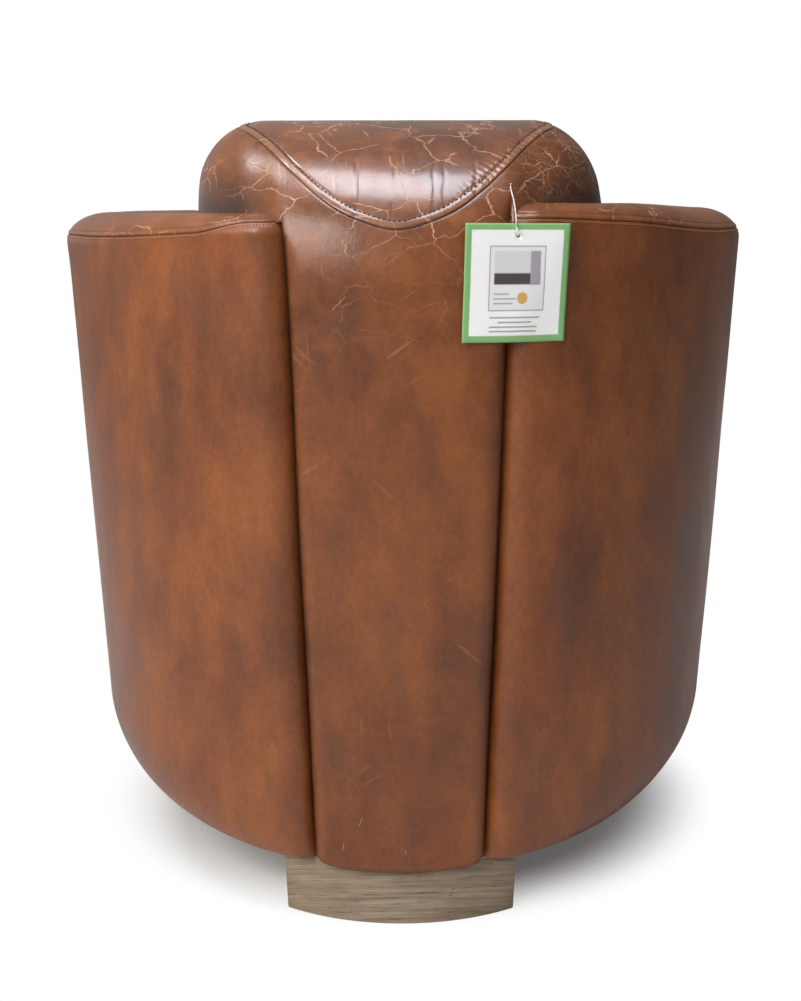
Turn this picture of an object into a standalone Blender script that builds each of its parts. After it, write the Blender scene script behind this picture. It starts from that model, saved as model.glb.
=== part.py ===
"""Leather barrel chair on an oak plinth. Metres, +Z up, floor at zero, the sitter faces -Y."""

import math

import bmesh
import bpy
import numpy as np
from mathutils import Matrix

# Overall size
DEPTH = 0.800
ARM_CREST_Z = 0.769
HOOD_RISE = 0.085
HOOD_TOP_Z = ARM_CREST_Z + HOOD_RISE

# Tub: the outer shape is a stack of rounded slices
BOTTOM_Z = 0.073
KEEL_HALF = 0.124
BOTTOM_HALF = 0.257
BILGE_REACH = 0.109
BILGE_RISE = 0.118
SHOULDER_HALF = 0.397
SHOULDER_DROP = 0.070
SHOULDER_Z = ARM_CREST_Z - SHOULDER_DROP
BOTTOM_BACK_DRAW = 0.009
BOTTOM_BACK = DEPTH / 2 - BOTTOM_BACK_DRAW
BOTTOM_FRONT_DRAW = 0.020
BACK_ROUNDNESS_LOW = 2.48
BACK_ROUNDNESS_HIGH = 2.01
FRONT_ROUNDNESS = 3.50
ARM_SLOPE = 0.0655
BILGE_END_ANGLE = math.radians(5.4)

# Arms
ARM_RADIUS = 0.050
BACK_END_RADIUS = 0.030
BACK_TIP_SHARE = 1.11
CREST_HEIGHT_SHARE = 0.71
FRONT_EDGE_SHARE = 0.87
SWELL_SHARE = 0.38
CREVICE_HALF_LOW = 0.0918
CREVICE_HALF_HIGH = 0.1127
CREVICE_DROP = 0.034
CREVICE_TOP_Z = ARM_CREST_Z - CREVICE_DROP

# Sheets and clearances
LEATHER = 0.002
BOARD = 0.004
ARM_PAD = 0.016
GAP = 0.0003
SEAM_GAP = 0.0002
CREVICE_GAP = 0.0006

# Back panel and hood
PANEL_EDGE_RADIUS = 0.016
PANEL_HANG = 0.008
HOOD_INSET = 0.1835
HOOD_HALF = SHOULDER_HALF - HOOD_INSET
HOOD_END_RADIUS = 0.073
HOOD_SPRING_DROP = 0.076
HOOD_CENTRE_SET = 0.1686
HOOD_FRONT_SET = 0.245
HOOD_FRONT_DROP = 0.124
HOOD_SPRING_Z = ARM_CREST_Z - HOOD_SPRING_DROP
HOOD_CENTRE_Y = DEPTH / 2 - HOOD_CENTRE_SET
HOOD_FRONT_Y = DEPTH / 2 - HOOD_FRONT_SET
HOOD_FRONT_Z = ARM_CREST_Z - HOOD_FRONT_DROP
HOOD_CAP_BULGE = 0.003
HOOD_REST_GAP = 0.0010
HOOD_SLACK = 0.0017
HOOD_STEP = 0.016
HOOD_SHOULDER = 0.012
HOOD_SHOULDER_START = 0.108
HOOD_SHOULDER_END = 0.150
HOOD_EDGE_SHARE = 0.5
HOOD_EDGE_BACK_SHARE = 0.85
HOOD_EDGE_DROP_SHARE = 0.45
BIB_HALF = 0.160
BIB_DROP = 0.022
BIB_LOW_Z = ARM_CREST_Z - BIB_DROP
BIB_END_ANGLE = math.radians(80)
BIB_ACROSS_SHARES = (0, 0.21, 0.36, 0.51, 0.66, 0.81, 0.93, 1)
BIB_RISE_SHARES = (0, 0.085, 0.20, 0.385, 0.61, 0.83, 0.96, 1)

# Seat
DECK_Z = 0.300
DECK_PAD = 0.020
SPRING_WIRE = 0.0035
SPRING_COUNT = 5
CUSHION_SIDE_CLEAR = 0.0128
CUSHION_FRONT_SET = 0.012
CUSHION_BACK_SET = 0.250
CUSHION_FRONT_Y = CUSHION_FRONT_SET - DEPTH / 2
CUSHION_BACK_Y = DEPTH / 2 - CUSHION_BACK_SET
CUSHION_SIDE = 0.135
CUSHION_CROWN = 0.022
CUSHION_DRAW = 0.010
CUSHION_CORNER_POWER = 4.0
CUSHION_REAR_FLAT = 0.010
CUSHION_POINTS = 28
ZIP_HALF = 0.115
ZIP_BAND = 0.008
ZIP_DRAW_SHARE = 0.9
ZIP_SLOT = 0.005
ZIP_SLIDER = 0.009
ZIP_SLIDER_DEEP = 0.003
APRON_PAD = 0.010
APRON_RECESS_SHARE = 0.35
APRON_BOARD = 0.012

# Inside back
INNER_BACK_SET = 0.228
INNER_BACK_Y = DEPTH / 2 - INNER_BACK_SET
INNER_BACK_RAKE = 0.15
INNER_BACK_HOLLOW = 0.060
INNER_BACK_ROUND = 0.022
INNER_BACK_CLEAR = 0.003
INNER_BACK_TOP_SHARE = 0.90
INNER_BACK_SHARES = (0, 0.3, 0.6, 0.85)
INNER_BACK_LIP_SHARE = 0.3

# Frame
BASE_BOARD = 0.018
BASE_SPREAD = 0.005
BASE_HALF = BOTTOM_HALF + BASE_SPREAD
BASE_INSET = 0.026
BASE_FRONT_CLEAR = 0.006
RAIL = 0.018
RAIL_SET = 0.057
RAIL_X = BOTTOM_HALF - RAIL_SET
POST_X = 0.047
POST_WIDE = 0.030
POST_DEEP = 0.040
POST_CLEAR = 0.0018
FRONT_BULKHEAD_SET = 0.130
REAR_BULKHEAD_SET = 0.175
FRONT_BULKHEAD_Y = FRONT_BULKHEAD_SET - DEPTH / 2
REAR_BULKHEAD_Y = DEPTH / 2 - REAR_BULKHEAD_SET
TOP_RAIL = 0.055
MID_RAIL_Z = 0.320
RIB = 0.016
RIB_FOOT = 0.062
RIM_HEIGHT = 0.030
RIM_WIDE_SHARE = 0.28
RIB_COLUMNS = (5, 8)
RIB_SHOULDER = 0.012
RIB_TOP_RISE = 0.020
RIM_CLEAR = 0.0012
RIB_CLEAR = 0.0008
RIM_EASE = 0.009
STRIP_HEIGHT = 0.006
STRIP_DEEP = 0.014

# Plinth
PLINTH_HALF = 0.128
PLINTH_BACK_SET = 0.017
PLINTH_FRONT_SET = 0.065
PLINTH_BACK_Y = DEPTH / 2 - PLINTH_BACK_SET
PLINTH_FRONT_Y = PLINTH_FRONT_SET - DEPTH / 2
PLINTH_BOW = 0.235
PLINTH_TAPER = 0.003
PLINTH_BLOCK = 0.060
PLINTH_SIDE = 0.032
DUST_HALF = 0.083
GLIDE_RADIUS = 0.014
GLIDE_HEIGHT = 0.0025
BOLT_RADIUS = 0.004
BOLT_HEAD_RADIUS = 0.009
BOLT_HEAD = 0.004
BOLT_DEPTH = 0.028
BOLT_CLEAR = 0.0003
BOLT_OVERRUN = 0.004

# Tag on its string
TAG_WIDTH = 0.109
TAG_HEIGHT = 0.118
TAG_THICK = 0.0006
TAG_TURN = math.radians(15.5)
TAG_HOLE_RADIUS = 0.0020
TAG_HOLE_DOWN = 0.0135
TAG_CENTRE_X = -0.1195
TAG_DROP = 0.0095
TAG_TOP_Z = ARM_CREST_Z - TAG_DROP
TAG_STAND_OFF = 0.0030
STRING_RADIUS = 0.0007
STRING_RISE = 0.0255
STRING_TOP_Z = ARM_CREST_Z + STRING_RISE
STRING_BOW = 0.0016
STRING_SHIFT = 0.0060
STRING_STEPS = 3
STRING_SEAT = 0.0008

PLINTH_TOP_Z = BOTTOM_Z - GAP
BASE_Z = BOTTOM_Z + LEATHER + GAP
BASE_TOP_Z = BASE_Z + BASE_BOARD
FLOOR_Z = BASE_TOP_Z + GAP
SKIN = LEATHER + GAP
BACK_TOP = DEPTH / 2
SOLVER_STEPS = 12


def clear_scene():
    for obj in list(bpy.data.objects):
        bpy.data.objects.remove(obj, do_unlink=True)


def material(name, colour, roughness, metallic=0.0):
    made = bpy.data.materials.new(name)
    made.use_nodes = True
    shader = made.node_tree.nodes["Principled BSDF"]
    shader.inputs["Base Color"].default_value = (*colour, 1.0)
    shader.inputs["Roughness"].default_value = roughness
    shader.inputs["Metallic"].default_value = metallic
    made.diffuse_color = (*colour, 1.0)
    return made


def lerp(a, b, t):
    return a + (b - a) * t


def smooth(t):
    t = min(max(t, 0.0), 1.0)
    return t * t * (3 - 2 * t)


def rounding(distance, radius):
    """How far a face rounded by this radius has turned in, at a distance from its edge."""
    reach = min(max(radius - distance, 0.0), radius)
    return radius - math.sqrt(radius * radius - reach * reach)


def finish(name, bm, look, angle=35):
    bmesh.ops.remove_doubles(bm, verts=bm.verts, dist=GAP / 30)
    bmesh.ops.dissolve_degenerate(bm, dist=GAP / 60, edges=bm.edges)
    loose = [v for v in bm.verts if not v.link_faces]
    bmesh.ops.delete(bm, geom=loose, context="VERTS")
    bmesh.ops.triangulate(bm, faces=bm.faces)
    bmesh.ops.recalc_face_normals(bm, faces=bm.faces)
    mesh = bpy.data.meshes.new(name)
    bm.to_mesh(mesh)
    bm.free()
    mesh.shade_smooth()
    mesh.set_sharp_from_angle(angle=math.radians(angle))
    mesh.materials.append(look)
    obj = bpy.data.objects.new(name, mesh)
    bpy.context.scene.collection.objects.link(obj)
    return obj


def shell(name, grid, keep, near, far, look, closed=False, facing=None, joined=None):
    """A sheet over the kept cells of a grid of points, between two depths below the surface.
    Joined maps a point of the grid to the one that it falls on."""
    rows, cols = grid.shape[:2]
    joined = joined or {}
    if facing is None:
        normals = joined_normals(grid_normals(grid, closed), joined)
    else:
        normals = np.broadcast_to(facing, grid.shape)
    near = np.broadcast_to(near, (rows, cols))
    far = np.broadcast_to(far, (rows, cols))
    last = cols if closed else cols - 1
    corners = {}
    for i in range(rows - 1):
        for j in range(last):
            ring = list(dict.fromkeys(joined.get(key, key) for key in cell_corners((i, j), cols)))
            if keep(i, j) and len(ring) > 2:
                corners[(i, j)] = ring
    edges = {}
    for ring in corners.values():
        for a, b in zip(ring, ring[1:] + ring[:1]):
            edges[(a, b)] = True
    rim = [(a, b) for a, b in edges if (b, a) not in edges]
    inward = pull_directions(rim, corners, grid)
    bm = bmesh.new()
    made = {}

    def vertex(key, side):
        if (key, side) not in made:
            i, j = key
            depth = far[i, j] if side else near[i, j]
            place = grid[i, j] - normals[i, j] * depth + inward.get(key, 0) * SEAM_GAP
            made[(key, side)] = bm.verts.new(place)
        return made[(key, side)]

    for ring in corners.values():
        bm.faces.new([vertex(key, 0) for key in ring])
        bm.faces.new([vertex(key, 1) for key in reversed(ring)])
    for a, b in rim:
        bm.faces.new([vertex(b, 0), vertex(a, 0), vertex(a, 1), vertex(b, 1)])
    return finish(name, bm, look)


def cell_corners(cell, cols):
    i, j = cell
    after = (j + 1) % cols
    return [(i, j), (i, after), (i + 1, after), (i + 1, j)]


def pull_directions(rim, corners, grid):
    """A unit direction into the kept cells for each point on their border."""
    border = {key for edge in rim for key in edge}
    sums = {}
    for ring in corners.values():
        centre = sum(grid[key] for key in ring) / len(ring)
        for key in ring:
            if key in border:
                sums[key] = sums.get(key, 0) + centre - grid[key]
    return {key: value / max(np.linalg.norm(value), GAP) for key, value in sums.items()}


def joined_normals(normals, joined):
    """The normals with those of joined points averaged."""
    sums = {}
    for key, target in joined.items():
        sums[target] = sums.get(target, normals[target]) + normals[key]
    for target, total in sums.items():
        normals[target] = total / np.linalg.norm(total)
    return normals


def grid_normals(grid, closed):
    rows, cols = grid.shape[:2]
    if closed:
        across = np.roll(grid, -1, axis=1) - np.roll(grid, 1, axis=1)
    else:
        across = np.gradient(grid, axis=1)
    up = np.gradient(grid, axis=0)
    normals = np.cross(up, across)
    size = np.linalg.norm(normals, axis=2, keepdims=True)
    normals = normals / np.maximum(size, GAP * GAP / 100)
    for i in range(rows):
        for j in range(cols):
            if np.linalg.norm(normals[i, j]) < 0.5:
                normals[i, j] = normals[i, j - 1] if j else (0, 0, 1)
    return normals


def loft(name, loops, look, angle=35):
    """A solid through closed loops of equal count, with flat ends."""
    bm = bmesh.new()
    rings = [[bm.verts.new(point) for point in loop] for loop in loops]
    count = len(loops[0])
    for low, high in zip(rings, rings[1:]):
        for k in range(count):
            after = (k + 1) % count
            bm.faces.new((low[k], low[after], high[after], high[k]))
    bm.faces.new(rings[0][::-1])
    bm.faces.new(rings[-1])
    return finish(name, bm, look, angle)


def prism(name, outline, z0, z1, look):
    return loft(name, [[(x, y, z0) for x, y in outline], [(x, y, z1) for x, y in outline]], look)


def box(name, x0, x1, y0, y1, z0, z1, look):
    return prism(name, [(x0, y0), (x1, y0), (x1, y1), (x0, y1)], z0, z1, look)


def disc(name, x, y, radii, heights, look, sides=20):
    loops = []
    for radius, z in zip(radii, heights):
        turn = [2 * math.pi * k / sides for k in range(sides)]
        loops.append([(x + radius * math.cos(a), y + radius * math.sin(a), z) for a in turn])
    return loft(name, loops, look)


def tube(name, points, radius, look, resolution=0):
    curve = bpy.data.curves.new(name, "CURVE")
    curve.dimensions = "3D"
    curve.bevel_depth = radius
    curve.bevel_resolution = resolution
    curve.use_fill_caps = True
    spline = curve.splines.new("POLY")
    spline.points.add(len(points) - 1)
    for slot, point in zip(spline.points, points):
        slot.co = (*point, 1.0)
    curve.materials.append(look)
    obj = bpy.data.objects.new(name, curve)
    bpy.context.scene.collection.objects.link(obj)
    return obj


def cut(obj, cutter):
    cutter.hide_render = True
    cutter.display_type = "WIRE"
    modifier = obj.modifiers.new("cut by " + cutter.name, "BOOLEAN")
    modifier.object = cutter
    modifier.operation = "DIFFERENCE"


def pivot(name, place, pieces):
    """An empty at a joint's place, which carries the pieces that move there."""
    empty = bpy.data.objects.new(name, None)
    empty.location = place
    bpy.context.scene.collection.objects.link(empty)
    for piece in pieces:
        piece.parent = empty
        piece.matrix_parent_inverse = Matrix.Translation(empty.location).inverted()
    return empty


# Tub formulas


def side_half(z):
    """Half width of the straight flared side."""
    start = BOTTOM_HALF + BILGE_REACH * math.cos(BILGE_END_ANGLE)
    start_z = SIDE_START_Z
    return lerp(start, SHOULDER_HALF, (z - start_z) / (SHOULDER_Z - start_z))


SIDE_START_Z = BOTTOM_Z + BILGE_RISE * (1 - math.sin(BILGE_END_ANGLE))
CUSHION_HALF = side_half(DECK_Z) - ARM_RADIUS * 2 - CUSHION_SIDE_CLEAR


def slice_numbers(z):
    t = min(max((z - BOTTOM_Z) / (SHOULDER_Z - BOTTOM_Z), 0.0), 1.0)
    back = lerp(BOTTOM_BACK, BACK_TOP, t)
    front = FRONT_LENGTH - BOTTOM_FRONT_DRAW * (1 - t)
    return back, front, lerp(BACK_ROUNDNESS_LOW, BACK_ROUNDNESS_HIGH, t)


def slice_point(half, z, turn):
    """Point and outward direction on a slice. Turn is 0 at the back and pi at the front."""
    back, front, back_power = slice_numbers(z)
    s, c = math.sin(turn), math.cos(turn)
    length, power = (back, back_power) if c >= 0 else (front, FRONT_ROUNDNESS)
    size = (abs(s) ** power + abs(c) ** power) ** (1 / power)
    x, y = half * s / size, length * c / size
    nx = math.copysign((abs(x) / half) ** (power - 1) / half, x)
    ny = math.copysign((abs(y) / length) ** (power - 1) / length, y)
    norm = math.hypot(nx, ny)
    return np.array((x, y)), np.array((nx, ny)) / norm


def turn_at(share, power):
    """Turn at which x is this share of the half width."""
    raised = share**power
    return math.atan((raised / (1 - raised)) ** (1 / power))


def crevice_half(z):
    t = (z - BOTTOM_Z) / (CREVICE_TOP_Z - BOTTOM_Z)
    return lerp(CREVICE_HALF_LOW, CREVICE_HALF_HIGH, min(max(t, 0.0), 1.0))


def arm_radius(half, place):
    """Half thickness of the arm at a place from 0 at its back end to 1 at its front end."""
    wide = min(half / SHOULDER_HALF, 1.0)
    return wide * lerp(BACK_END_RADIUS, ARM_RADIUS, smooth(place / SWELL_SHARE))


def arm_arc(half, z, place):
    back_power = slice_numbers(z)[2]
    start = turn_at((crevice_half(z) + arm_radius(half, 0) * BACK_TIP_SHARE) / half, back_power)
    end = math.pi - turn_at(FRONT_EDGE_SHARE, FRONT_ROUNDNESS)
    return slice_point(half, z, lerp(start, end, place))


def arm_plan(column, half, z, inset):
    """Plan point of the left arm. The inset is a share of the local half thickness."""
    kind, place = column
    if kind in ("outer", "inner"):
        point, out = arm_arc(half, z, place)
        radius = arm_radius(half, place)
        depth = radius * inset if kind == "outer" else radius * (2 - inset)
        return point - out * depth
    end = 1 if kind == "front" else 0
    point, out = arm_arc(half, z, end)
    radius = arm_radius(half, end)
    along = np.array((out[1], -out[0])) * (1 if kind == "front" else -1)
    centre = point - out * radius
    reach = radius * (1 - inset)
    sign = 1 if kind == "front" else -1
    return centre + reach * (sign * out * math.cos(place) + along * math.sin(place))


def arm_height(z, y):
    rise = (z - SIDE_START_Z) / (ARM_CREST_Z - SIDE_START_Z)
    return z - max(rise, 0.0) * ARM_SLOPE * (BACK_TOP - y)


def arm_columns(arcs, ends):
    outer = [("outer", k / arcs) for k in range(arcs + 1)]
    front = [("front", math.pi * k / ends) for k in range(1, ends)]
    inner = [("inner", 1 - k / arcs) for k in range(arcs + 1)]
    back = [("back", math.pi * k / ends) for k in range(1, ends)]
    return outer + front + inner + back


def arm_point(column, row):
    kind, value = row
    place = column[1] if column[0] in ("outer", "inner") else (1 if column[0] == "front" else 0)
    if kind == "flat":
        half, z, inset = lerp(KEEL_HALF, BOTTOM_HALF, value), BOTTOM_Z, 0
    elif kind == "bilge":
        half = BOTTOM_HALF + BILGE_REACH * math.sin(value)
        z, inset = BOTTOM_Z + BILGE_RISE * (1 - math.cos(value)), 0
    else:
        high = arm_radius(SHOULDER_HALF, place) * CREST_HEIGHT_SHARE
        z = lerp(SIDE_START_Z, ARM_CREST_Z - high, value if kind == "side" else 1)
        half = side_half(z)
        inset = 0
        if kind == "roll":
            z += high * math.sin(value)
            inset = 1 - math.cos(value)
    x, y = arm_plan(column, half, z, inset)
    return np.array((x, y, arm_height(z, y)))


DECK_SHARE = (DECK_Z - SIDE_START_Z) / (ARM_CREST_Z - ARM_RADIUS * CREST_HEIGHT_SHARE - SIDE_START_Z)
SEAM_ANGLE = math.radians(22)
ROWS = [("flat", 0), ("flat", 1)]
ROWS += [("bilge", math.radians(a)) for a in (20, 40, 62)]
ROWS += [("side", s) for s in (0, DECK_SHARE, 0.62, 1)]
ROWS += [("roll", a) for a in (SEAM_ANGLE, math.radians(45), math.radians(68), math.pi / 2)]
BILGE_ROW = 2
WALL_FOOT_ROW = 5
DECK_ROW = 6
WALL_ROW = 8
SEAM_ROW = 9
ARCS = 11
ENDS = 4
COLUMNS = arm_columns(ARCS, ENDS)
FRONT_END = ARCS + ENDS
INNER_END = FRONT_END + ARCS
FRONT_LENGTH = DEPTH / 2


def front_reach():
    return min(arm_point(column, row)[1] for column in COLUMNS for row in ROWS)


def solve_front_length():
    """The slices' front length that puts the arms' foremost point at half the depth."""
    global FRONT_LENGTH
    for _ in range(SOLVER_STEPS):
        FRONT_LENGTH += DEPTH / 2 + front_reach()


solve_front_length()


def arm_grid(side):
    grid = np.array([[arm_point(column, row) for column in COLUMNS] for row in ROWS])
    grid[:, :, 0] *= side
    return grid if side > 0 else grid[:, ::-1]


def arm_column(side, j):
    """Index in the left arm's order, whichever side the grid is for. Cells count between columns."""
    return j if side > 0 else (len(COLUMNS) - 2 - j) % len(COLUMNS)


def on_inner(side, j):
    return FRONT_END <= arm_column(side, j) < INNER_END


def past_tip(side, j):
    """Whether a cell lies on the arm's inner side or past the tip of its back end."""
    return FRONT_END <= arm_column(side, j) < len(COLUMNS) - ENDS // 2


def past_tips(side, j):
    """Whether a cell lies past the tip of either end, on the inner side."""
    return ARCS + ENDS // 2 <= arm_column(side, j) < len(COLUMNS) - ENDS // 2


def crest_joins(side):
    """Along the crest the inner columns meet the outer ones, and each end's columns meet in one point."""
    last = len(ROWS) - 1
    joins = {}
    for j in range(ARCS + 1, len(COLUMNS)):
        kind = COLUMNS[j][0]
        target = FRONT_END + ARCS - j if kind == "inner" else (ARCS if kind == "front" else 0)
        if side < 0:
            joins[(last, len(COLUMNS) - 1 - j)] = (last, len(COLUMNS) - 1 - target)
        else:
            joins[(last, j)] = (last, target)
    return joins


def arm_depths(side, depth):
    """A depth for each column, thinner where the arm is thinner."""
    wide = []
    for kind, place in COLUMNS:
        spot = place if kind in ("outer", "inner") else (1 if kind == "front" else 0)
        wide.append(arm_radius(SHOULDER_HALF, spot) / ARM_RADIUS)
    wide = np.array(wide if side > 0 else wide[::-1])
    return depth * wide[None, :]


def build_arm(side, tag, looks):
    grid = arm_grid(side)
    hide, wood, foam = looks["hide"], looks["wood"], looks["foam"]
    shell(
        "arm_outer_leather_" + tag,
        grid,
        lambda i, j: i < SEAM_ROW and not (past_tip(side, j) if i < WALL_FOOT_ROW else on_inner(side, j)),
        0,
        LEATHER,
        hide,
        True,
    )
    shell(
        "arm_top_leather_" + tag,
        grid,
        lambda i, j: i >= SEAM_ROW or (i >= DECK_ROW and on_inner(side, j)),
        0,
        LEATHER,
        hide,
        True,
        joined=crest_joins(side),
    )
    shell(
        "arm_padding_" + tag,
        grid,
        lambda i, j: i >= WALL_ROW or (i >= DECK_ROW and on_inner(side, j)),
        SKIN,
        SKIN + arm_depths(side, ARM_PAD),
        foam,
        True,
        joined=crest_joins(side),
    )
    shell(
        "arm_outer_board_" + tag,
        grid,
        lambda i, j: BILGE_ROW <= i < WALL_ROW and not past_tips(side, j),
        SKIN,
        SKIN + BOARD,
        looks["board"],
        True,
    )
    left = arm_grid(1)
    normals = grid_normals(left, True)
    for number, column in enumerate(RIB_COLUMNS, 1):
        build_rib(left, normals, column, "arm_rib_{}_{}".format(tag, number), side, wood)
    build_rim(left, "arm_rim_" + tag, side, wood)


def inner_column(k):
    """Index of the inner column across the arm from outer column k."""
    return FRONT_END + ARCS - k


def layer_column(grid, normals, j, rows, depth):
    return [grid[i, j] - normals[i, j] * depth for i in rows]


def height_cut(points, z):
    """The points above a height, starting with the place where the line crosses it."""
    for k, (low, high) in enumerate(zip(points, points[1:])):
        if low[2] < z <= high[2]:
            return [lerp(low, high, (z - low[2]) / (high[2] - low[2]))] + points[k + 1 :]
    return points


def rib_section(grid, normals, column, share):
    """Outline of a rib a share of the way from its column to the next one."""
    step = 1 if share >= 0 else -1
    share = abs(share)
    pads = arm_depths(1, ARM_PAD)[0]
    lines = []
    for k in (column, column + step):
        outer = layer_column(grid, normals, k, range(BILGE_ROW, WALL_ROW), SKIN + BOARD + RIB_CLEAR)
        across = inner_column(k)
        inner = layer_column(grid, normals, across, range(WALL_ROW - 1, DECK_ROW - 1, -1), SKIN + pads[k] + GAP)
        lines.append((outer, inner))
    outer = [lerp(a, b, share) for a, b in zip(lines[0][0], lines[1][0])]
    inner = [lerp(a, b, share) for a, b in zip(lines[0][1], lines[1][1])]
    outer = height_cut(outer, FLOOR_Z)
    reach = (outer[-1] - inner[0]) * np.array((1, 1, 0))
    reach = reach / np.linalg.norm(reach)
    foot = outer[0] - reach * RIB_FOOT
    rise = (0, 0, RIB_TOP_RISE)
    return outer + [outer[-1] - reach * RIB_SHOULDER + rise, inner[0] + reach * RIB_SHOULDER + rise] + inner + [foot]


def build_rib(grid, normals, column, name, side, look):
    width = np.linalg.norm(grid[WALL_ROW, column + 1] - grid[WALL_ROW, column])
    loops = []
    for sign in (-1, 0, 1):
        section = rib_section(grid, normals, column, sign * RIB / 2 / width)
        loops.append([(side * x, y, z) for x, y, z in section])
    loft(name, loops, look)


def build_rim(grid, name, side, look):
    """The rail under the crest padding, along the middle of the arm, resting on the ribs."""
    loops = []
    pads = arm_depths(1, ARM_PAD)[0]
    for k in range(ARCS + 1):
        outer, inner = grid[WALL_ROW, k], grid[WALL_ROW, inner_column(k)]
        middle, reach = (outer + inner) / 2, (outer - inner) / 2
        radius = np.linalg.norm(reach)
        reach = reach / radius
        top = grid[-1, k][2] - SKIN - pads[k] - RIM_CLEAR
        low = top - RIM_HEIGHT * radius / ARM_RADIUS
        wide = radius * RIM_WIDE_SHARE
        ease = RIM_EASE * radius / ARM_RADIUS
        outline = ((-wide, low), (wide, low), (wide, top - ease), (wide / 3, top), (-wide / 3, top), (-wide, top - ease))
        loop = []
        for across, z in outline:
            x, y = middle[:2] + reach[:2] * across
            loop.append((side * x, y, z))
        loops.append(loop)
    loft(name, loops, look)


def half_at(z):
    if z >= SIDE_START_Z:
        return side_half(z)
    rise = min(max(1 - (z - BOTTOM_Z) / BILGE_RISE, 0.0), 1.0)
    return BOTTOM_HALF + BILGE_REACH * math.sqrt(1 - rise * rise)


# Back panel and hood formulas


def panel_back(x, z):
    """Y of the tub's back face at this x."""
    z = min(z, SHOULDER_Z)
    back, _, power = slice_numbers(z)
    half = half_at(max(z, BOTTOM_Z + BILGE_RISE / 2))
    return back * (1 - (min(abs(x) / half, 1.0)) ** power) ** (1 / power)


def hood_shoulder(x):
    """How far the hood's ends stand in from the panel, behind the arms' crests."""
    return HOOD_SHOULDER * smooth((abs(x) - HOOD_SHOULDER_START) / (HOOD_SHOULDER_END - HOOD_SHOULDER_START))


def hood_section(x):
    """Back reach, front reach and rise of the hood about its centre line at this x."""
    turned = rounding(HOOD_HALF - abs(x), HOOD_END_RADIUS)
    back = panel_back(x, SHOULDER_Z) - turned - hood_shoulder(x) - HOOD_CENTRE_Y
    front = HOOD_CENTRE_Y - HOOD_FRONT_Y - turned
    return back, front, HOOD_TOP_Z - HOOD_SPRING_Z - turned


def hood_point(x, angle):
    """Angle 0 is the back at the spring line, pi / 2 the top and pi the front."""
    back, front, rise = hood_section(x)
    reach = back if math.cos(angle) >= 0 else front
    return np.array((x, HOOD_CENTRE_Y + reach * math.cos(angle), HOOD_SPRING_Z + rise * math.sin(angle)))


def back_point(x, z):
    if z <= HOOD_SPRING_Z:
        turned = rounding(HOOD_HALF - abs(x), HOOD_END_RADIUS)
        return np.array((x, panel_back(x, z) - turned - hood_shoulder(x), z))
    rise = hood_section(x)[2]
    return hood_point(x, math.asin(min((z - HOOD_SPRING_Z) / rise, 1.0)))


def arm_top_under_hood(x):
    """Height of the arm's crest where the hood lies over it."""
    edge = CREVICE_HALF_HIGH + HOOD_EDGE_SHARE * BACK_END_RADIUS
    high = BACK_END_RADIUS * CREST_HEIGHT_SHARE
    drop = HOOD_EDGE_DROP_SHARE * high * min(max((edge - abs(x)) / (edge - CREVICE_HALF_HIGH), 0.0), 1.0)
    fall = ARM_SLOPE * (BACK_TOP - HOOD_CENTRE_Y - HOOD_EDGE_BACK_SHARE * hood_section(x)[0])
    return ARM_CREST_Z - fall - drop + HOOD_REST_GAP


def bib_angle(x):
    """Where the curved seam crosses this x, as a hood angle."""
    rise = hood_section(x)[2]
    top = math.sin(BIB_END_ANGLE) * hood_section(BIB_HALF)[2]
    share = np.interp(min(abs(x) / BIB_HALF, 1.0), BIB_ACROSS_SHARES, BIB_RISE_SHARES)
    z = BIB_LOW_Z - HOOD_SPRING_Z + float(share) * (top + HOOD_SPRING_Z - BIB_LOW_Z)
    if abs(x) >= BIB_HALF:
        return BIB_END_ANGLE
    return math.asin(min(max(z / rise, 0.0), 1.0))


PANEL_BOARD_SHARE = (HOOD_FRONT_Z - GAP * 3 - BOTTOM_Z) / (CREVICE_TOP_Z - BOTTOM_Z)
CENTRE_SHARES = (0, 0.28, 0.56, 0.80, 0.93, 0.985, 1)
LOBE_SHARES = (0.16, 0.36, 0.515, 0.68, 0.82, 0.92, 0.98, 1)
BIB_COLUMN = 3
PANEL_HEIGHT_SHARES = (0, 0.012, 0.15, 0.36, 0.62, PANEL_BOARD_SHARE, 0.95)
PANEL_BOARD_ROW = 5
BLEND_SHARES = (0, 0.35, 0.7, 1)
OVER_START = math.radians(100)
OVER_SHARES = (0.22, 0.46, 0.72, 1)
OVER_ANGLES = tuple(math.radians(a) for a in (122, 150, 180))
PANEL_ROWS = len(PANEL_HEIGHT_SHARES)
BIB_ROW = PANEL_ROWS + len(BLEND_SHARES) - 1


def tee_columns():
    """Signed column keys: centre shares run to the crevice, lobe shares from there to the hood's end."""
    right = [("centre", s) for s in CENTRE_SHARES] + [("lobe", s) for s in LOBE_SHARES] + [("cap", 1)]
    return [(kind, s, -1) for kind, s in reversed(right)] + [(kind, s, 1) for kind, s in right[1:]]


def tee_grid():
    """Back panel and hood as one sheet of points, its rows running up the back and over the top."""
    columns = tee_columns()
    rows = []
    for share in PANEL_HEIGHT_SHARES:
        rows.append([panel_point(column, lerp(BOTTOM_Z, CREVICE_TOP_Z, share)) for column in columns])
    for share in BLEND_SHARES:
        rows.append([blend_point(column, share) for column in columns])
    for share in OVER_SHARES:
        rows.append([over_point(column, share, 0) for column in columns])
    for angle in OVER_ANGLES:
        rows.append([over_point(column, 1, angle) for column in columns])
    rows.append([front_foot(column) for column in columns])
    return np.array(rows)


def lobe_x(column):
    kind, share, sign = column
    return sign * lerp(CREVICE_HALF_HIGH, HOOD_HALF, share)


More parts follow.
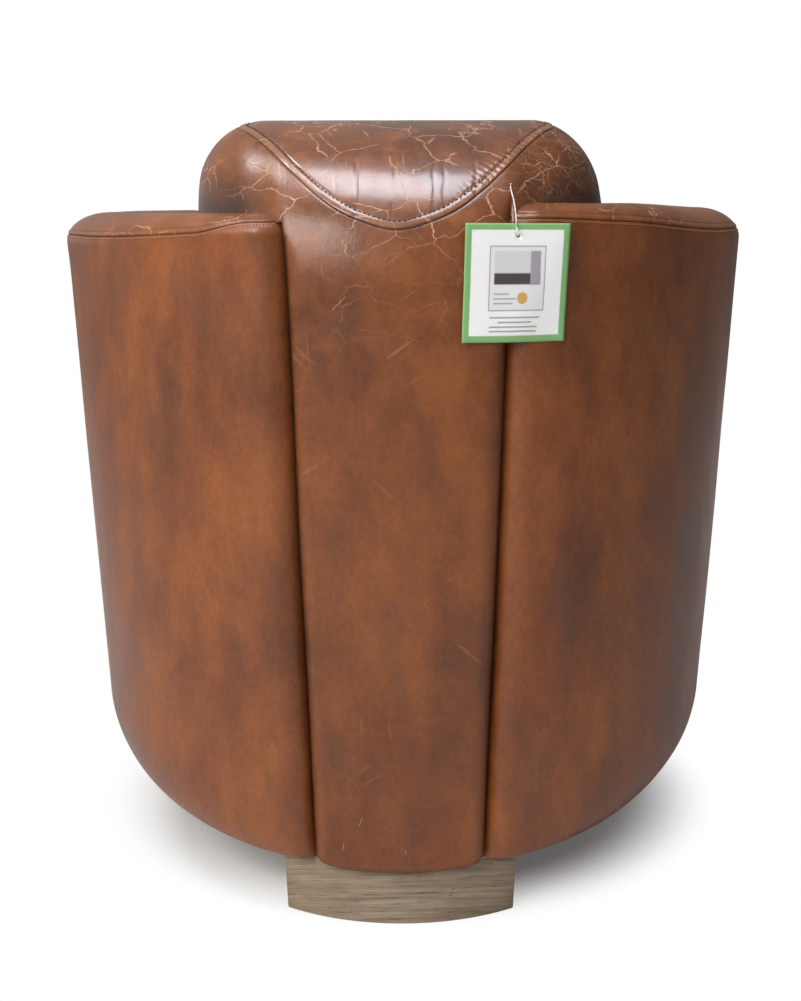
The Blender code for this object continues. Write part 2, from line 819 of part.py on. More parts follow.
def panel_point(column, z):
    kind, share, sign = column
    if kind != "centre":
        return back_point(sign * (crevice_half(z) - CREVICE_GAP), z) - np.array((0, PANEL_EDGE_RADIUS, 0))
    x = sign * share * (crevice_half(z) - CREVICE_GAP)
    point = back_point(x, z)
    point[1] -= rounding(crevice_half(z) - CREVICE_GAP - abs(x), PANEL_EDGE_RADIUS)
    if z == BOTTOM_Z:
        point[2] -= PANEL_HANG * (1 - share * share)
    return point


def blend_point(column, share):
    kind, across, sign = column
    if kind == "cap":
        return cap_point(sign)
    if kind == "centre":
        x = sign * across * (CREVICE_HALF_HIGH - CREVICE_GAP)
        low = lerp(BOTTOM_Z, CREVICE_TOP_Z, PANEL_HEIGHT_SHARES[-1])
        start = arm_top_under_hood(x) if across == 1 else lerp(low, arm_top_under_hood(x), 0.5)
    else:
        x = lobe_x(column)
        start = arm_top_under_hood(x)
    rise = hood_section(x)[2]
    end = rise * bib_angle(x)
    start -= HOOD_SPRING_Z
    if start > 0:
        start = rise * math.asin(min(start / rise, 1.0))
    climb = lerp(min(start, end - GAP * 10), end, share)
    point = hood_point(x, climb / rise) if climb > 0 else back_point(x, HOOD_SPRING_Z + climb)
    if kind == "centre" and across > CENTRE_SHARES[2]:
        edge = rounding(CREVICE_HALF_HIGH - CREVICE_GAP - abs(x), PANEL_EDGE_RADIUS)
        point[1] -= edge * (1 - smooth(share + 0.35))
    return point


def over_point(column, share, angle):
    """A point past the curved seam: a share of the way to the first angle over the top, or at an angle."""
    kind, across, sign = column
    if kind == "cap":
        return cap_point(sign)
    x = sign * across * (CREVICE_HALF_HIGH - CREVICE_GAP) if kind == "centre" else lobe_x(column)
    return hood_point(x, angle or lerp(bib_angle(x), OVER_START, share))


def front_foot(column):
    kind, across, sign = column
    if kind == "cap":
        point = cap_point(sign)
        point[2] = HOOD_FRONT_Z
        return point
    point = over_point(column, 1, math.pi)
    point[2] = HOOD_FRONT_Z
    return point


def cap_point(sign):
    back, front, rise = hood_section(HOOD_HALF)
    return np.array((sign * (HOOD_HALF + HOOD_CAP_BULGE), HOOD_CENTRE_Y - front / 2, HOOD_SPRING_Z + rise / 2))


def build_back(looks):
    grid = tee_grid()
    columns = tee_columns()
    middle = len(columns) // 2
    crevice = len(CENTRE_SHARES) - 1
    bib = crevice + BIB_COLUMN

    def reach(j):
        """Columns from the middle to the far side of the cell that starts at this column."""
        return j + 1 - middle if j >= middle else middle - j

    def in_panel(i, j):
        if reach(j) <= crevice:
            return i < BIB_ROW
        return i >= PANEL_ROWS and (i < BIB_ROW or reach(j) > bib)

    shell("back_panel_leather", grid, in_panel, 0, LEATHER, looks["hide"])
    shell("headrest_top_leather", grid, lambda i, j: i >= BIB_ROW and reach(j) <= bib, 0, LEATHER, looks["hide"])
    shell(
        "back_outer_board",
        grid,
        lambda i, j: i < PANEL_BOARD_ROW and reach(j) <= crevice - 1,
        SKIN,
        SKIN + BOARD,
        looks["board"],
    )
    build_headrest_foam(grid, columns, looks["foam"])
    build_inside_back(looks)


def build_headrest_foam(grid, columns, look):
    """The stuffing of the hood, inside its leather, stepped over the arms at its ends."""
    normals = grid_normals(grid, False)
    inner = grid - normals * (SKIN + HOOD_SLACK)
    inner_y = HOOD_CENTRE_Y - HOOD_STEP
    low = HOOD_FRONT_Z + GAP
    loops = []
    for j, (kind, share, _) in enumerate(columns):
        if kind == "cap":
            continue
        over_arm = kind == "lobe" or share > CENTRE_SHARES[-4]
        line = list(inner[PANEL_BOARD_ROW:, j])
        if over_arm:
            start = ARM_CREST_Z + HOOD_REST_GAP
            first = PANEL_ROWS - PANEL_BOARD_ROW
            line = [point for point in line[first:]]
            line = height_cut(line, start)
            line = [line[0]] * (len(inner) - PANEL_BOARD_ROW - len(line)) + line
        else:
            start = low
            line[0] = np.array((line[0][0], line[0][1], low))
        x = line[0][0]
        line[-1] = np.array((line[-1][0], line[-1][1], low))
        line.append(np.array((x, inner_y, low)))
        line.append(np.array((x, inner_y, start)))
        loops.append(line)
    loft("headrest_foam", loops, look)


def inner_back_y(x, z):
    """Front face of the inside back: hollow across, leaning back as it rises."""
    lean = INNER_BACK_RAKE * (z - DECK_Z)
    return INNER_BACK_Y + lean - INNER_BACK_HOLLOW * (abs(x) / CUSHION_HALF) ** 2


def inner_arm_edge(z, place):
    """Plan point just inside the arm's inner face."""
    half = half_at(z)
    point, out = arm_arc(half, z, place)
    return point - out * (2 * arm_radius(half, place) + INNER_BACK_CLEAR)


def inner_edge_place(z):
    """Where along the arm the inside back's front face meets it."""
    for k in range(200):
        place = k / 200
        x, y = inner_arm_edge(z, place)
        if y < inner_back_y(x, z) + INNER_BACK_ROUND * 2:
            return place
    return 0.4


def build_inside_back(looks):
    low = DECK_Z + DECK_PAD + GAP
    top = HOOD_FRONT_Z
    xs_shares = (-1, -0.94, -0.75, -0.5, -0.25, 0, 0.25, 0.5, 0.75, 0.94, 1)
    heights = [lerp(low, top, share) for share in INNER_BACK_SHARES]
    heights += [top - INNER_BACK_ROUND * INNER_BACK_LIP_SHARE, top]
    rows = []
    for i, z in enumerate(heights):
        place = inner_edge_place(z)
        wide = inner_arm_edge(z, place)[0]
        back_off = rounding(top - z, INNER_BACK_ROUND)
        row = []
        for share in xs_shares:
            x = wide * share
            edge = INNER_BACK_ROUND if abs(share) == 1 else 0
            row.append((x, inner_back_y(x, z) + back_off + edge, z))
        rows.append(row[::-1])
    z = top
    last = [(x * INNER_BACK_TOP_SHARE, y + INNER_BACK_ROUND, z) for x, y, z in rows[-1]]
    rows.append(last)
    grid = np.array(rows)
    shell("inside_back_leather", grid, lambda i, j: True, 0, LEATHER, looks["hide"])
    loops = []
    for z in [lerp(low, top - SKIN, share) for share in INNER_BACK_SHARES + (1,)]:
        place = inner_edge_place(z)
        wide = inner_arm_edge(z, place)[0] - SKIN
        back_off = rounding(top - SKIN - z, INNER_BACK_ROUND)
        front = []
        for share in xs_shares:
            x = wide * share
            edge = INNER_BACK_ROUND if abs(share) == 1 else 0
            front.append((x, inner_back_y(x, z) + SKIN + back_off + edge, z))
        behind = []
        for k in range(4):
            x, y = inner_arm_edge(z, place * (1 - k / 4))
            behind.append((min(x, wide), min(y, POST_FRONT_Y - GAP), z))
        loops.append(front + behind + [(-x, y, z) for x, y, z in reversed(behind)])
    loft("back_foam", loops, looks["foam"])


POST_BACK_Y = panel_back(POST_X + POST_WIDE, BOTTOM_Z) - SKIN - BOARD - POST_CLEAR
POST_FRONT_Y = POST_BACK_Y - POST_DEEP


def build_frame(looks):
    wood = looks["wood"]
    base = prism("base_board", base_outline(), BASE_Z, BASE_TOP_Z, wood)
    rail_top = DECK_Z - DECK_PAD - GAP
    front_y = FRONT_BULKHEAD_Y
    for side, tag in ((1, "left"), (-1, "right")):
        xs = sorted((side * RAIL_X, side * (RAIL_X + RAIL)))
        box("seat_rail_" + tag, *xs, front_y, REAR_BULKHEAD_Y, FLOOR_Z, rail_top, wood)
        px = sorted((side * POST_X, side * (POST_X + POST_WIDE)))
        box("back_post_" + tag, *px, POST_FRONT_Y, POST_BACK_Y, FLOOR_Z, HOOD_FRONT_Z - TOP_RAIL - GAP, wood)
    inside = RAIL_X - GAP
    box("front_bulkhead", -inside, inside, front_y, front_y + RAIL, FLOOR_Z, rail_top - STRIP_HEIGHT - GAP, wood)
    box(
        "rear_bulkhead",
        -inside,
        inside,
        REAR_BULKHEAD_Y - RAIL,
        REAR_BULKHEAD_Y,
        FLOOR_Z,
        rail_top - STRIP_HEIGHT - GAP,
        wood,
    )
    reach = POST_X + POST_WIDE
    box("back_top_rail", -reach, reach, POST_FRONT_Y, POST_BACK_Y, HOOD_FRONT_Z - TOP_RAIL, HOOD_FRONT_Z, wood)
    mid = POST_X - GAP
    box("back_mid_rail", -mid, mid, POST_FRONT_Y, POST_FRONT_Y + RAIL, MID_RAIL_Z, MID_RAIL_Z + TOP_RAIL, wood)
    return base


def base_outline():
    """Plan of the base board, inside the tub's flat bottom and behind the apron."""
    points = []
    steps = 28
    front = max(apron_line(row)[1] for row in ROWS[1:DECK_ROW]) + SKIN + APRON_PAD + APRON_BOARD + BASE_FRONT_CLEAR
    for k in range(steps):
        turn = 2 * math.pi * k / steps
        point, out = slice_point(BASE_HALF + SKIN, BOTTOM_Z, turn)
        x, y = point - out * (SKIN + BASE_INSET)
        points.append((x, max(y, front)))
    return points[::-1]


def build_springs(looks):
    """Zigzag springs from the front bulkhead to the rear one, under the deck."""
    z = DECK_Z - DECK_PAD - SPRING_WIRE / 2 - GAP * 2
    strip_z = DECK_Z - DECK_PAD - GAP - STRIP_HEIGHT
    steel = looks["steel"]
    inside = RAIL_X - GAP
    for name, y in (("spring_strip_front", FRONT_BULKHEAD_Y), ("spring_strip_rear", REAR_BULKHEAD_Y - STRIP_DEEP)):
        box(name, -inside, inside, y, y + STRIP_DEEP, strip_z, strip_z + STRIP_HEIGHT, steel)
    start = FRONT_BULKHEAD_Y + STRIP_DEEP + GAP
    end = REAR_BULKHEAD_Y - STRIP_DEEP - GAP
    pitch = 2 * RAIL_X / SPRING_COUNT
    bends = 11
    swing = pitch / 4
    for number in range(SPRING_COUNT):
        x = -RAIL_X + pitch * (number + 0.5)
        points = [(x, start, z), (x, start + SPRING_WIRE, z)]
        for k in range(1, bends):
            y = lerp(start, end, k / bends)
            step = (end - start) / bends / 3
            side = 1 if k % 2 else -1
            points += [(x + side * swing, y - step, z), (x + side * swing, y + step, z)]
        points += [(x, end - SPRING_WIRE, z), (x, end, z)]
        tube("seat_spring_{}".format(number + 1), points, SPRING_WIRE / 2, steel)


def cushion_outline(draw):
    """Plan of the cushion, drawn in by a distance, with a straight stretch along the rear for the zip."""
    centre = (CUSHION_FRONT_Y + CUSHION_BACK_Y) / 2
    long = (CUSHION_BACK_Y - CUSHION_FRONT_Y) / 2 - draw
    wide = CUSHION_HALF - draw
    power = CUSHION_CORNER_POWER
    points = []
    for k in range(CUSHION_POINTS):
        a = 2 * math.pi * k / CUSHION_POINTS
        s, c = math.sin(a), math.cos(a)
        size = (abs(s) ** power + abs(c) ** power) ** (1 / power)
        reach = long + CUSHION_REAR_FLAT if s > 0 else long
        points.append((wide * c / size, min(centre + reach * s / size, centre + long)))
    return points


def cushion_rings(shrink):
    """Rings of the cushion's surface from the middle of its base to the middle of its top."""
    low = DECK_Z + DECK_PAD + GAP
    high = low + CUSHION_SIDE
    half = (CUSHION_BACK_Y - CUSHION_FRONT_Y) / 2
    rings = [(half * 0.45, low), (CUSHION_DRAW * 3, low), (CUSHION_DRAW, low + CUSHION_DRAW * 0.4)]
    middle = (low + high) / 2
    rings += [(CUSHION_DRAW * 0.3, low + CUSHION_DRAW * 1.4)]
    rings += [(CUSHION_DRAW * ZIP_DRAW_SHARE, middle - ZIP_BAND), (CUSHION_DRAW * ZIP_DRAW_SHARE, middle + ZIP_BAND)]
    rings += [(CUSHION_DRAW * 0.3, high - CUSHION_DRAW * 1.4), (CUSHION_DRAW, high)]
    rings += [(CUSHION_DRAW * 4, high + CUSHION_CROWN * 0.42), (half * 0.35, high + CUSHION_CROWN * 0.78)]
    rings += [(half * 0.62, high + CUSHION_CROWN * 0.95)]
    return [(draw + shrink, z - math.copysign(shrink, z - middle) if abs(z - middle) > shrink else z) for draw, z in rings]


def build_cushion(looks):
    outer = [[(x, y, z) for x, y in cushion_outline(draw)] for draw, z in cushion_rings(0)]
    inner = [[(x, y, z) for x, y in cushion_outline(draw)] for draw, z in cushion_rings(SKIN)]
    within = [[(x, y, z) for x, y in cushion_outline(draw)] for draw, z in cushion_rings(LEATHER)]
    core = loft("cushion_core", inner, looks["foam"])
    hollow = loft("cushion_hollow", within, looks["hide"])
    cover = loft("cushion_cover", outer, looks["hide"])
    cut(cover, hollow)
    middle = DECK_Z + DECK_PAD + GAP + CUSHION_SIDE / 2
    wall = CUSHION_BACK_Y - CUSHION_DRAW
    low, high = middle - ZIP_SLOT / 2, middle + ZIP_SLOT / 2
    slot = box("zip_slot", -ZIP_HALF, ZIP_HALF, wall - CUSHION_DRAW, CUSHION_BACK_Y, low, high, looks["hide"])
    cut(cover, slot)
    y0 = CUSHION_BACK_Y - CUSHION_DRAW * ZIP_DRAW_SHARE + GAP
    y1 = y0 + ZIP_SLIDER_DEEP
    slider = box(
        "cushion_zip_slider", -ZIP_HALF, ZIP_SLIDER - ZIP_HALF, y0, y1, middle - ZIP_SLOT, middle + ZIP_SLOT, looks["steel"]
    )
    pivot("zip_run", (ZIP_SLIDER / 2 - ZIP_HALF, y0, middle), [slider])
    pivot("cushion_lift", (0, (CUSHION_FRONT_Y + CUSHION_BACK_Y) / 2, DECK_Z + DECK_PAD), [core, cover, slider.parent])


def build_plinth(looks, base):
    oak = looks["oak"]
    top = PLINTH_TOP_Z
    low = GLIDE_HEIGHT + GAP
    for name, end, sign in (("plinth_rear_block", PLINTH_BACK_Y, 1), ("plinth_front_block", PLINTH_FRONT_Y, -1)):
        loops = []
        for z, taper in ((low, PLINTH_TAPER), (top, 0)):
            half = PLINTH_HALF - taper
            steps = 12
            arc = []
            for k in range(steps + 1):
                x = lerp(-half, half, k / steps)
                arc.append((x, end - sign * (PLINTH_BOW - math.sqrt(PLINTH_BOW**2 - x * x)), z))
            inner = end - sign * PLINTH_BLOCK
            loops.append(arc + [(half, inner, z), (-half, inner, z)])
        loft(name, loops, oak)
    y0 = PLINTH_FRONT_Y + PLINTH_BLOCK + GAP
    y1 = PLINTH_BACK_Y - PLINTH_BLOCK - GAP
    outer = PLINTH_HALF - PLINTH_TAPER
    for side, tag in ((1, "left"), (-1, "right")):
        xs = sorted((side * (outer - PLINTH_SIDE), side * outer))
        block = box("plinth_side_" + tag, *xs, y0, y1, low, top, oak)
        x = side * (outer - PLINTH_SIDE + BOLT_RADIUS * 2.5)
        for number, y in enumerate((y0 + PLINTH_SIDE, y1 - PLINTH_SIDE * 4.5), 1):
            build_bolt("plinth_bolt_{}_{}".format(tag, number), x, y, (block, base), looks["steel"])
    inner = outer - PLINTH_SIDE - GAP
    middle = (y0 + y1) / 2
    brace = (-inner, inner, middle - PLINTH_SIDE / 2, middle + PLINTH_SIDE / 2)
    box("plinth_cross_brace", *brace, low, top, oak)
    ends = (PLINTH_FRONT_Y + PLINTH_SIDE, PLINTH_BACK_Y - PLINTH_SIDE)
    box("dust_cover", -DUST_HALF, DUST_HALF, *ends, BOTTOM_Z, BOTTOM_Z + LEATHER, looks["cloth"])
    far = PLINTH_HALF - PLINTH_TAPER - GLIDE_RADIUS * 2
    for tag, x, y in (
        ("rear_left", far, PLINTH_BACK_Y - PLINTH_BLOCK + GLIDE_RADIUS),
        ("rear_right", -far, PLINTH_BACK_Y - PLINTH_BLOCK + GLIDE_RADIUS),
        ("front_left", far, PLINTH_FRONT_Y + PLINTH_BLOCK - GLIDE_RADIUS),
        ("front_right", -far, PLINTH_FRONT_Y + PLINTH_BLOCK - GLIDE_RADIUS),
    ):
        disc("glide_" + tag, x, y, (GLIDE_RADIUS, GLIDE_RADIUS), (0, GLIDE_HEIGHT), looks["nylon"])


def build_bolt(name, x, y, holders, look):
    under = BASE_TOP_Z + GAP
    low = under - BASE_BOARD - BOLT_DEPTH
    radii = (BOLT_RADIUS, BOLT_RADIUS, BOLT_HEAD_RADIUS, BOLT_HEAD_RADIUS)
    disc(name, x, y, radii, (low, under, under, under + BOLT_HEAD), look, 12)
    hole = BOLT_RADIUS + BOLT_CLEAR
    cutter = disc(name + "_hole", x, y, (hole, hole), (low - BOLT_CLEAR, under + BOLT_OVERRUN), look, 12)
    for holder in holders:
        cut(holder, cutter)


def apron_line(row):
    """Half width and y of the apron between the arms' front ends, with its height, for a row."""
    kind, value = row
    centre = arm_point(("front", math.pi / 2), row)
    if kind == "bilge":
        half = BOTTOM_HALF + BILGE_REACH * math.sin(value)
    elif kind == "flat":
        half = lerp(KEEL_HALF, BOTTOM_HALF, value)
    else:
        half = side_half(lerp(SIDE_START_Z, ARM_CREST_Z - ARM_RADIUS * CREST_HEIGHT_SHARE, value))
    radius = arm_radius(half, 1)
    z = centre[2]
    middle = arm_plan(("front", 0), half, z, 1)
    return middle[0] - radius - CREVICE_GAP, middle[1] - radius * APRON_RECESS_SHARE, z


def build_apron(looks):
    rows = ROWS[1 : DECK_ROW + 1]
    shares = (-1, -0.97, -0.75, -0.4, 0, 0.4, 0.75, 0.97, 1)
    lines = []
    for row in rows:
        half, y, z = apron_line(row)
        z = DECK_Z + DECK_PAD if row == rows[-1] else max(z, BASE_Z)
        edge = [PANEL_EDGE_RADIUS / 2 if abs(s) == 1 else 0 for s in shares]
        lines.append([(s * half, y + e, z) for s, e in zip(shares, edge)])
    grid = np.array(lines)
    facing = (0, -1, 0)
    shell("apron_leather", grid, lambda i, j: True, 0, LEATHER, looks["hide"], facing=facing)
    behind = SKIN + APRON_PAD + GAP
    for name, near, far, look in (
        ("apron_padding", SKIN, SKIN + APRON_PAD, looks["foam"]),
        ("front_board", behind, behind + APRON_BOARD, looks["board"]),
    ):
        shell(name, grid, lambda i, j: 0 < j < len(shares) - 2, near, far, look, facing=facing)


def build_deck(looks):
    z = DECK_Z - DECK_PAD
    outline = [(x, min(max(y, FRONT_BULKHEAD_Y - RAIL), INNER_BACK_Y)) for x, y in cushion_outline(CUSHION_DRAW)]
    prism("deck_pad", outline, z, DECK_Z + DECK_PAD, looks["foam"])


def build_tag(looks):
    turn = TAG_TURN
    across = np.array((math.cos(turn), math.sin(turn), 0))
    out = np.array((-math.sin(turn), math.cos(turn), 0))
    touch = panel_back(TAG_CENTRE_X, SHOULDER_Z) + TAG_STAND_OFF
    centre = np.array((TAG_CENTRE_X, touch, TAG_TOP_Z))
    half = across * TAG_WIDTH / 2
    down = np.array((0, 0, -TAG_HEIGHT))
    face = [centre - half, centre + half, centre + half + down, centre - half + down]
    thick = out * TAG_THICK
    card = loft("hang_tag", [[tuple(p) for p in face], [tuple(p + thick) for p in face]], looks["card"])
    hole = centre + np.array((0, 0, -TAG_HOLE_DOWN))
    ring = []
    for k in range(12):
        a = 2 * math.pi * k / 12
        ring.append(hole + TAG_HOLE_RADIUS * (across * math.cos(a) + np.array((0, 0, math.sin(a)))))
    over = out * TAG_STAND_OFF / 2
    cutter = loft("tag_hole", [[tuple(p - over) for p in ring], [tuple(p + over) for p in ring]], looks["card"])
    cut(card, cutter)
    top = back_point(TAG_CENTRE_X + STRING_SHIFT, STRING_TOP_Z)
    clear = TAG_THICK + STRING_RADIUS + GAP
    edge = centre + np.array((STRING_SHIFT / 2, 0, 0))
    eye = hole + np.array((0, 0, TAG_HOLE_RADIUS - STRING_RADIUS - GAP))
    route = [
        top + np.array((0, STRING_RADIUS - STRING_SEAT, 0)),
        lerp(top, edge, 0.5) + out * (clear + STRING_BOW * 2),
        edge + out * (clear + STRING_BOW),
        eye + out * (clear + STRING_BOW) + np.array((0, 0, STRING_BOW * 2)),
        eye + out * (clear + STRING_BOW * 0.4),
        eye + out * (TAG_THICK / 2),
    ]
    string = tube("tag_string", smooth_route(route, STRING_STEPS), STRING_RADIUS, looks["string"], 2)
    pivot("tag_swing", route[0], [card, cutter, string])


def smooth_route(route, steps):
    """Points on a smooth curve through the route."""
    ends = [route[0] * 2 - route[1]] + list(route) + [route[-1] * 2 - route[-2]]
    points = []
    for a, b, c, d in zip(ends, ends[1:], ends[2:], ends[3:]):
        for k in range(steps):
            t = k / steps
            points.append((b * 2 + (c - a) * t + (a * 2 - b * 5 + c * 4 - d) * t**2 + (b * 3 - a - c * 3 + d) * t**3) / 2)
    return [tuple(point) for point in points + [route[-1]]]


def build_webbing(looks):
    y = POST_FRONT_Y + RAIL + GAP
    low = FLOOR_Z + TOP_RAIL
    high = HOOD_FRONT_Z - TOP_RAIL - GAP
    box("back_webbing", -POST_X + GAP, POST_X - GAP, y, y + LEATHER, low, high, looks["cloth"])


def main():
    clear_scene()
    looks = {
        "hide": material("cigar leather", (0.24, 0.09, 0.035), 0.38),
        "wood": material("pine frame", (0.62, 0.45, 0.26), 0.75),
        "board": material("fibre board", (0.35, 0.24, 0.14), 0.85),
        "foam": material("foam", (0.85, 0.80, 0.62), 0.9),
        "steel": material("spring steel", (0.45, 0.46, 0.48), 0.35, 1.0),
        "oak": material("weathered oak", (0.33, 0.24, 0.17), 0.7),
        "nylon": material("nylon glide", (0.05, 0.05, 0.05), 0.5),
        "card": material("tag card", (0.85, 0.86, 0.83), 0.6),
        "string": material("tag string", (0.9, 0.9, 0.88), 0.8),
        "cloth": material("webbing", (0.12, 0.11, 0.10), 0.9),
    }
    for side, tag in ((1, "left"), (-1, "right")):
        build_arm(side, tag, looks)
    build_back(looks)
    base = build_frame(looks)
    build_webbing(looks)
    build_springs(looks)
    build_deck(looks)
    build_cushion(looks)
    build_apron(looks)
    build_plinth(looks, base)
    build_tag(looks)


main()
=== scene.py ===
"""Leather barrel chair on an oak plinth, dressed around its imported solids. Metres, +Z up, the sitter faces -Y."""

import functools
import math

import bmesh
import bpy
import numpy as np
from mathutils import Matrix, Vector, bvhtree, kdtree, noise


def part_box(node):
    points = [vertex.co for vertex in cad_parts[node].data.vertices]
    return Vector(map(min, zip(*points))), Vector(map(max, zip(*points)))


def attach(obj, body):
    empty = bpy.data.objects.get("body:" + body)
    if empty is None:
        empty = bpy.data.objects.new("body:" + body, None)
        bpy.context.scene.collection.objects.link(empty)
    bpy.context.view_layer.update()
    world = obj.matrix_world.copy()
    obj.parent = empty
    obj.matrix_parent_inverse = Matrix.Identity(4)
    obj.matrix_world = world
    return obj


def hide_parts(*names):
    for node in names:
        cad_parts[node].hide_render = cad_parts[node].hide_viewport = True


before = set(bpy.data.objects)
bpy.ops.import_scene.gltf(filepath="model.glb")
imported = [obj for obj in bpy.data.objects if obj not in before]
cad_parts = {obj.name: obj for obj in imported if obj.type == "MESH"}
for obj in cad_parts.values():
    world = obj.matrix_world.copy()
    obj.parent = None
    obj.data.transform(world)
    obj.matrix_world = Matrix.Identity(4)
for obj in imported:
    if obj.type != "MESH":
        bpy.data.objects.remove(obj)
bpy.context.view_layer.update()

# The camera stands behind the chair and a little above its seat, where the photograph was taken from.
# Its place, tilt and lens were fitted to the outline, the seams and the plinth.
EYE = Vector((-0.0316, 2.0753, 0.8902))
EYE_PITCH, EYE_YAW, EYE_ROLL = 0.2397, -0.0172, -0.0041
EYE_LENS_MM, SENSOR_MM = 61.14, 36.0
level = math.cos(EYE_PITCH)
forward = Vector((-math.sin(EYE_YAW) * level, -math.cos(EYE_YAW) * level, -math.sin(EYE_PITCH)))
level_right = forward.cross(Vector((0, 0, 1))).normalized()
level_up = level_right.cross(forward)
right = level_right * math.cos(EYE_ROLL) + level_up * math.sin(EYE_ROLL)
up = level_up * math.cos(EYE_ROLL) - level_right * math.sin(EYE_ROLL)
eye = bpy.data.objects.new("camera", bpy.data.cameras.new("camera"))
eye.data.lens, eye.data.sensor_width = EYE_LENS_MM, SENSOR_MM
eye.matrix_world = Matrix.Translation(EYE) @ Matrix((right, up, -forward)).transposed().to_4x4()
bpy.context.scene.collection.objects.link(eye)
bpy.context.scene.camera = eye
bpy.context.scene.view_settings.view_transform = "Standard"


# Studio: a broad softbox overhead, one over the left lobe, a key behind the camera on its left and a weak fill
# in front of the chair. The room is paler on the key's side, and a seamless floor turns to plain white away
# from the chair.
MM = 0.001
SOFTLY = {"interpolation_type": "SMOOTHSTEP"}
COLOURS = {"data_type": "RGBA", "out": 2}
WHITE = (1, 1, 1, 1)


def linear(code):
    """An sRGB hex colour as the linear RGBA that Blender's sockets take."""
    parts = [int(code[k : k + 2], 16) / 255 for k in (1, 3, 5)]
    return tuple(c / 12.92 if c <= 0.04045 else ((c + 0.055) / 1.055) ** 2.4 for c in parts) + (1.0,)


def add(tree, kind, *values, out=0, stops=(), **settings):
    """Adds a node and returns one of its outputs. The values go to its inputs in their order, or one dict says
    which; another node's output is linked. A kind may carry its operation, as in "Math ADD", and stops are the
    places and colours along a ramp."""
    kind, *operation = kind.split()
    made = tree.nodes.new("ShaderNode" + kind)
    for name in operation:
        made.operation = name
    for key, value in settings.items():
        setattr(made, key, value)
    for k, (place, code) in enumerate(stops):
        stop = made.color_ramp.elements[k] if k < 2 else made.color_ramp.elements.new(place)
        stop.position, stop.color = place, linear(code)
    by_key = values[0] if values and isinstance(values[0], dict) else dict(enumerate(values))
    for key, value in by_key.items():
        if isinstance(value, bpy.types.NodeSocket):
            tree.links.new(value, made.inputs[key])
        else:
            made.inputs[key].default_value = value
    return made.outputs[out] if made.outputs else None


def shown_object(name, data):
    obj = bpy.data.objects.new(name, data)
    bpy.context.scene.collection.objects.link(obj)
    return obj


def softbox(name, place, target, width, height, watts, tint="#ffffff"):
    lamp = bpy.data.lights.new(name, "AREA")
    lamp.shape, lamp.size, lamp.size_y, lamp.energy = "RECTANGLE", width, height, watts
    lamp.color = linear(tint)[:3]
    obj = shown_object(name, lamp)
    obj.location = place
    obj.rotation_euler = (Vector(target) - Vector(place)).to_track_quat("-Z", "Y").to_euler()
    return obj


softbox("overhead_softbox", (0.12, 0.95, 3.3), (0.10, 0.85, 0.8), 1.5, 0.95, 48, "#edf3ff")
softbox("lobe_softbox", (1.50, 0.35, 3.3), (0.15, 0.3, 0.8), 0.5, 0.9, 26)
softbox("key_softbox", (1.85, 2.65, 2.35), (0.05, 0.2, 0.40), 1.8, 1.4, 74, "#fff9f1")
softbox("front_fill", (-0.5, -3.0, 0.95), (0, -0.3, 0.5), 1.8, 0.9, 22).visible_glossy = False

ROOM_BRIGHT_SIDE, ROOM_TURN = (0.78, 0.42, 0.30), 0.9
ROOM_FILL, ROOM_MIRRORED = (0.02, 0.28), (0.03, 0.80)
room = bpy.data.worlds.new("studio")
room.use_nodes = True
bpy.context.scene.world = room
room.node_tree.nodes.clear()
put = functools.partial(add, room.node_tree)
path = put("LightPath").node.outputs
turned = put("VectorMath DOT_PRODUCT", put("TexCoord", out="Generated"), ROOM_BRIGHT_SIDE, out="Value")
fill, mirrored_room = [
    put("Background", WHITE, put("MapRange", turned, -ROOM_TURN, ROOM_TURN, *strengths))
    for strengths in (ROOM_FILL, ROOM_MIRRORED)
]
straight = put("Math MAXIMUM", path["Is Camera Ray"], path["Is Transmission Ray"])
indirect = put("MixShader", path["Is Glossy Ray"], fill, mirrored_room)
put("OutputWorld", put("MixShader", straight, indirect, put("Background", WHITE, 1.0)))

FLOOR_HALF = 7.0
LIT_OUT_TO, WHITE_FROM, LIT_GLOW = 0.275, 0.405, 0.08
ground = bmesh.new()
bmesh.ops.create_grid(ground, x_segments=1, y_segments=1, size=FLOOR_HALF)
floor = shown_object("floor", bpy.data.meshes.new("floor"))
ground.to_mesh(floor.data)
ground.free()
paper = bpy.data.materials.new("seamless paper")
paper.use_nodes = True
paper.node_tree.nodes.clear()
put = functools.partial(add, paper.node_tree)
reach = put("VectorMath LENGTH", put("TexCoord", out="Object"), out="Value")
lit = put("AddShader", put("BsdfDiffuse", (0.94, 0.98, 1.0, 1)), put("Emission", WHITE, LIT_GLOW))
away = put("MapRange", reach, LIT_OUT_TO, WHITE_FROM, **SOFTLY)
seen = put("MixShader", away, lit, put("Emission", WHITE, 1.0))
put("OutputMaterial", put("MixShader", put("LightPath"), put("BsdfDiffuse", linear("#d2d2d2")), seen))
floor.data.materials.append(paper)


# Hides: every leather piece is a sheet cut flat, pulled over its stuffing and sewn.
# The helper cuts a grid, lays each point where the pattern says, and gives the hide its thickness.
HIDE_THICK = 1.8 * MM


def lerp(a, b, t):
    return a + (b - a) * t


def smooth(t):
    t = min(max(t, 0.0), 1.0)
    return t * t * (3 - 2 * t)


def bump(d, width):
    return math.exp(-((d / width) ** 2))


def object_from(name, bm, look, thick=0):
    mesh = bpy.data.meshes.new(name)
    bm.to_mesh(mesh)
    bm.free()
    mesh.shade_smooth()
    mesh.materials.append(look)
    obj = shown_object(name, mesh)
    if thick:
        wall = obj.modifiers.new("thickness", "SOLIDIFY")
        wall.thickness, wall.offset = thick, -1.0
    return obj


def hills(co, size, seed):
    """Smooth random height from -1 to 1, with hills of about this size."""
    return noise.noise(Vector(co) / size + Vector((seed, seed * 2.3, seed * 4.1)))


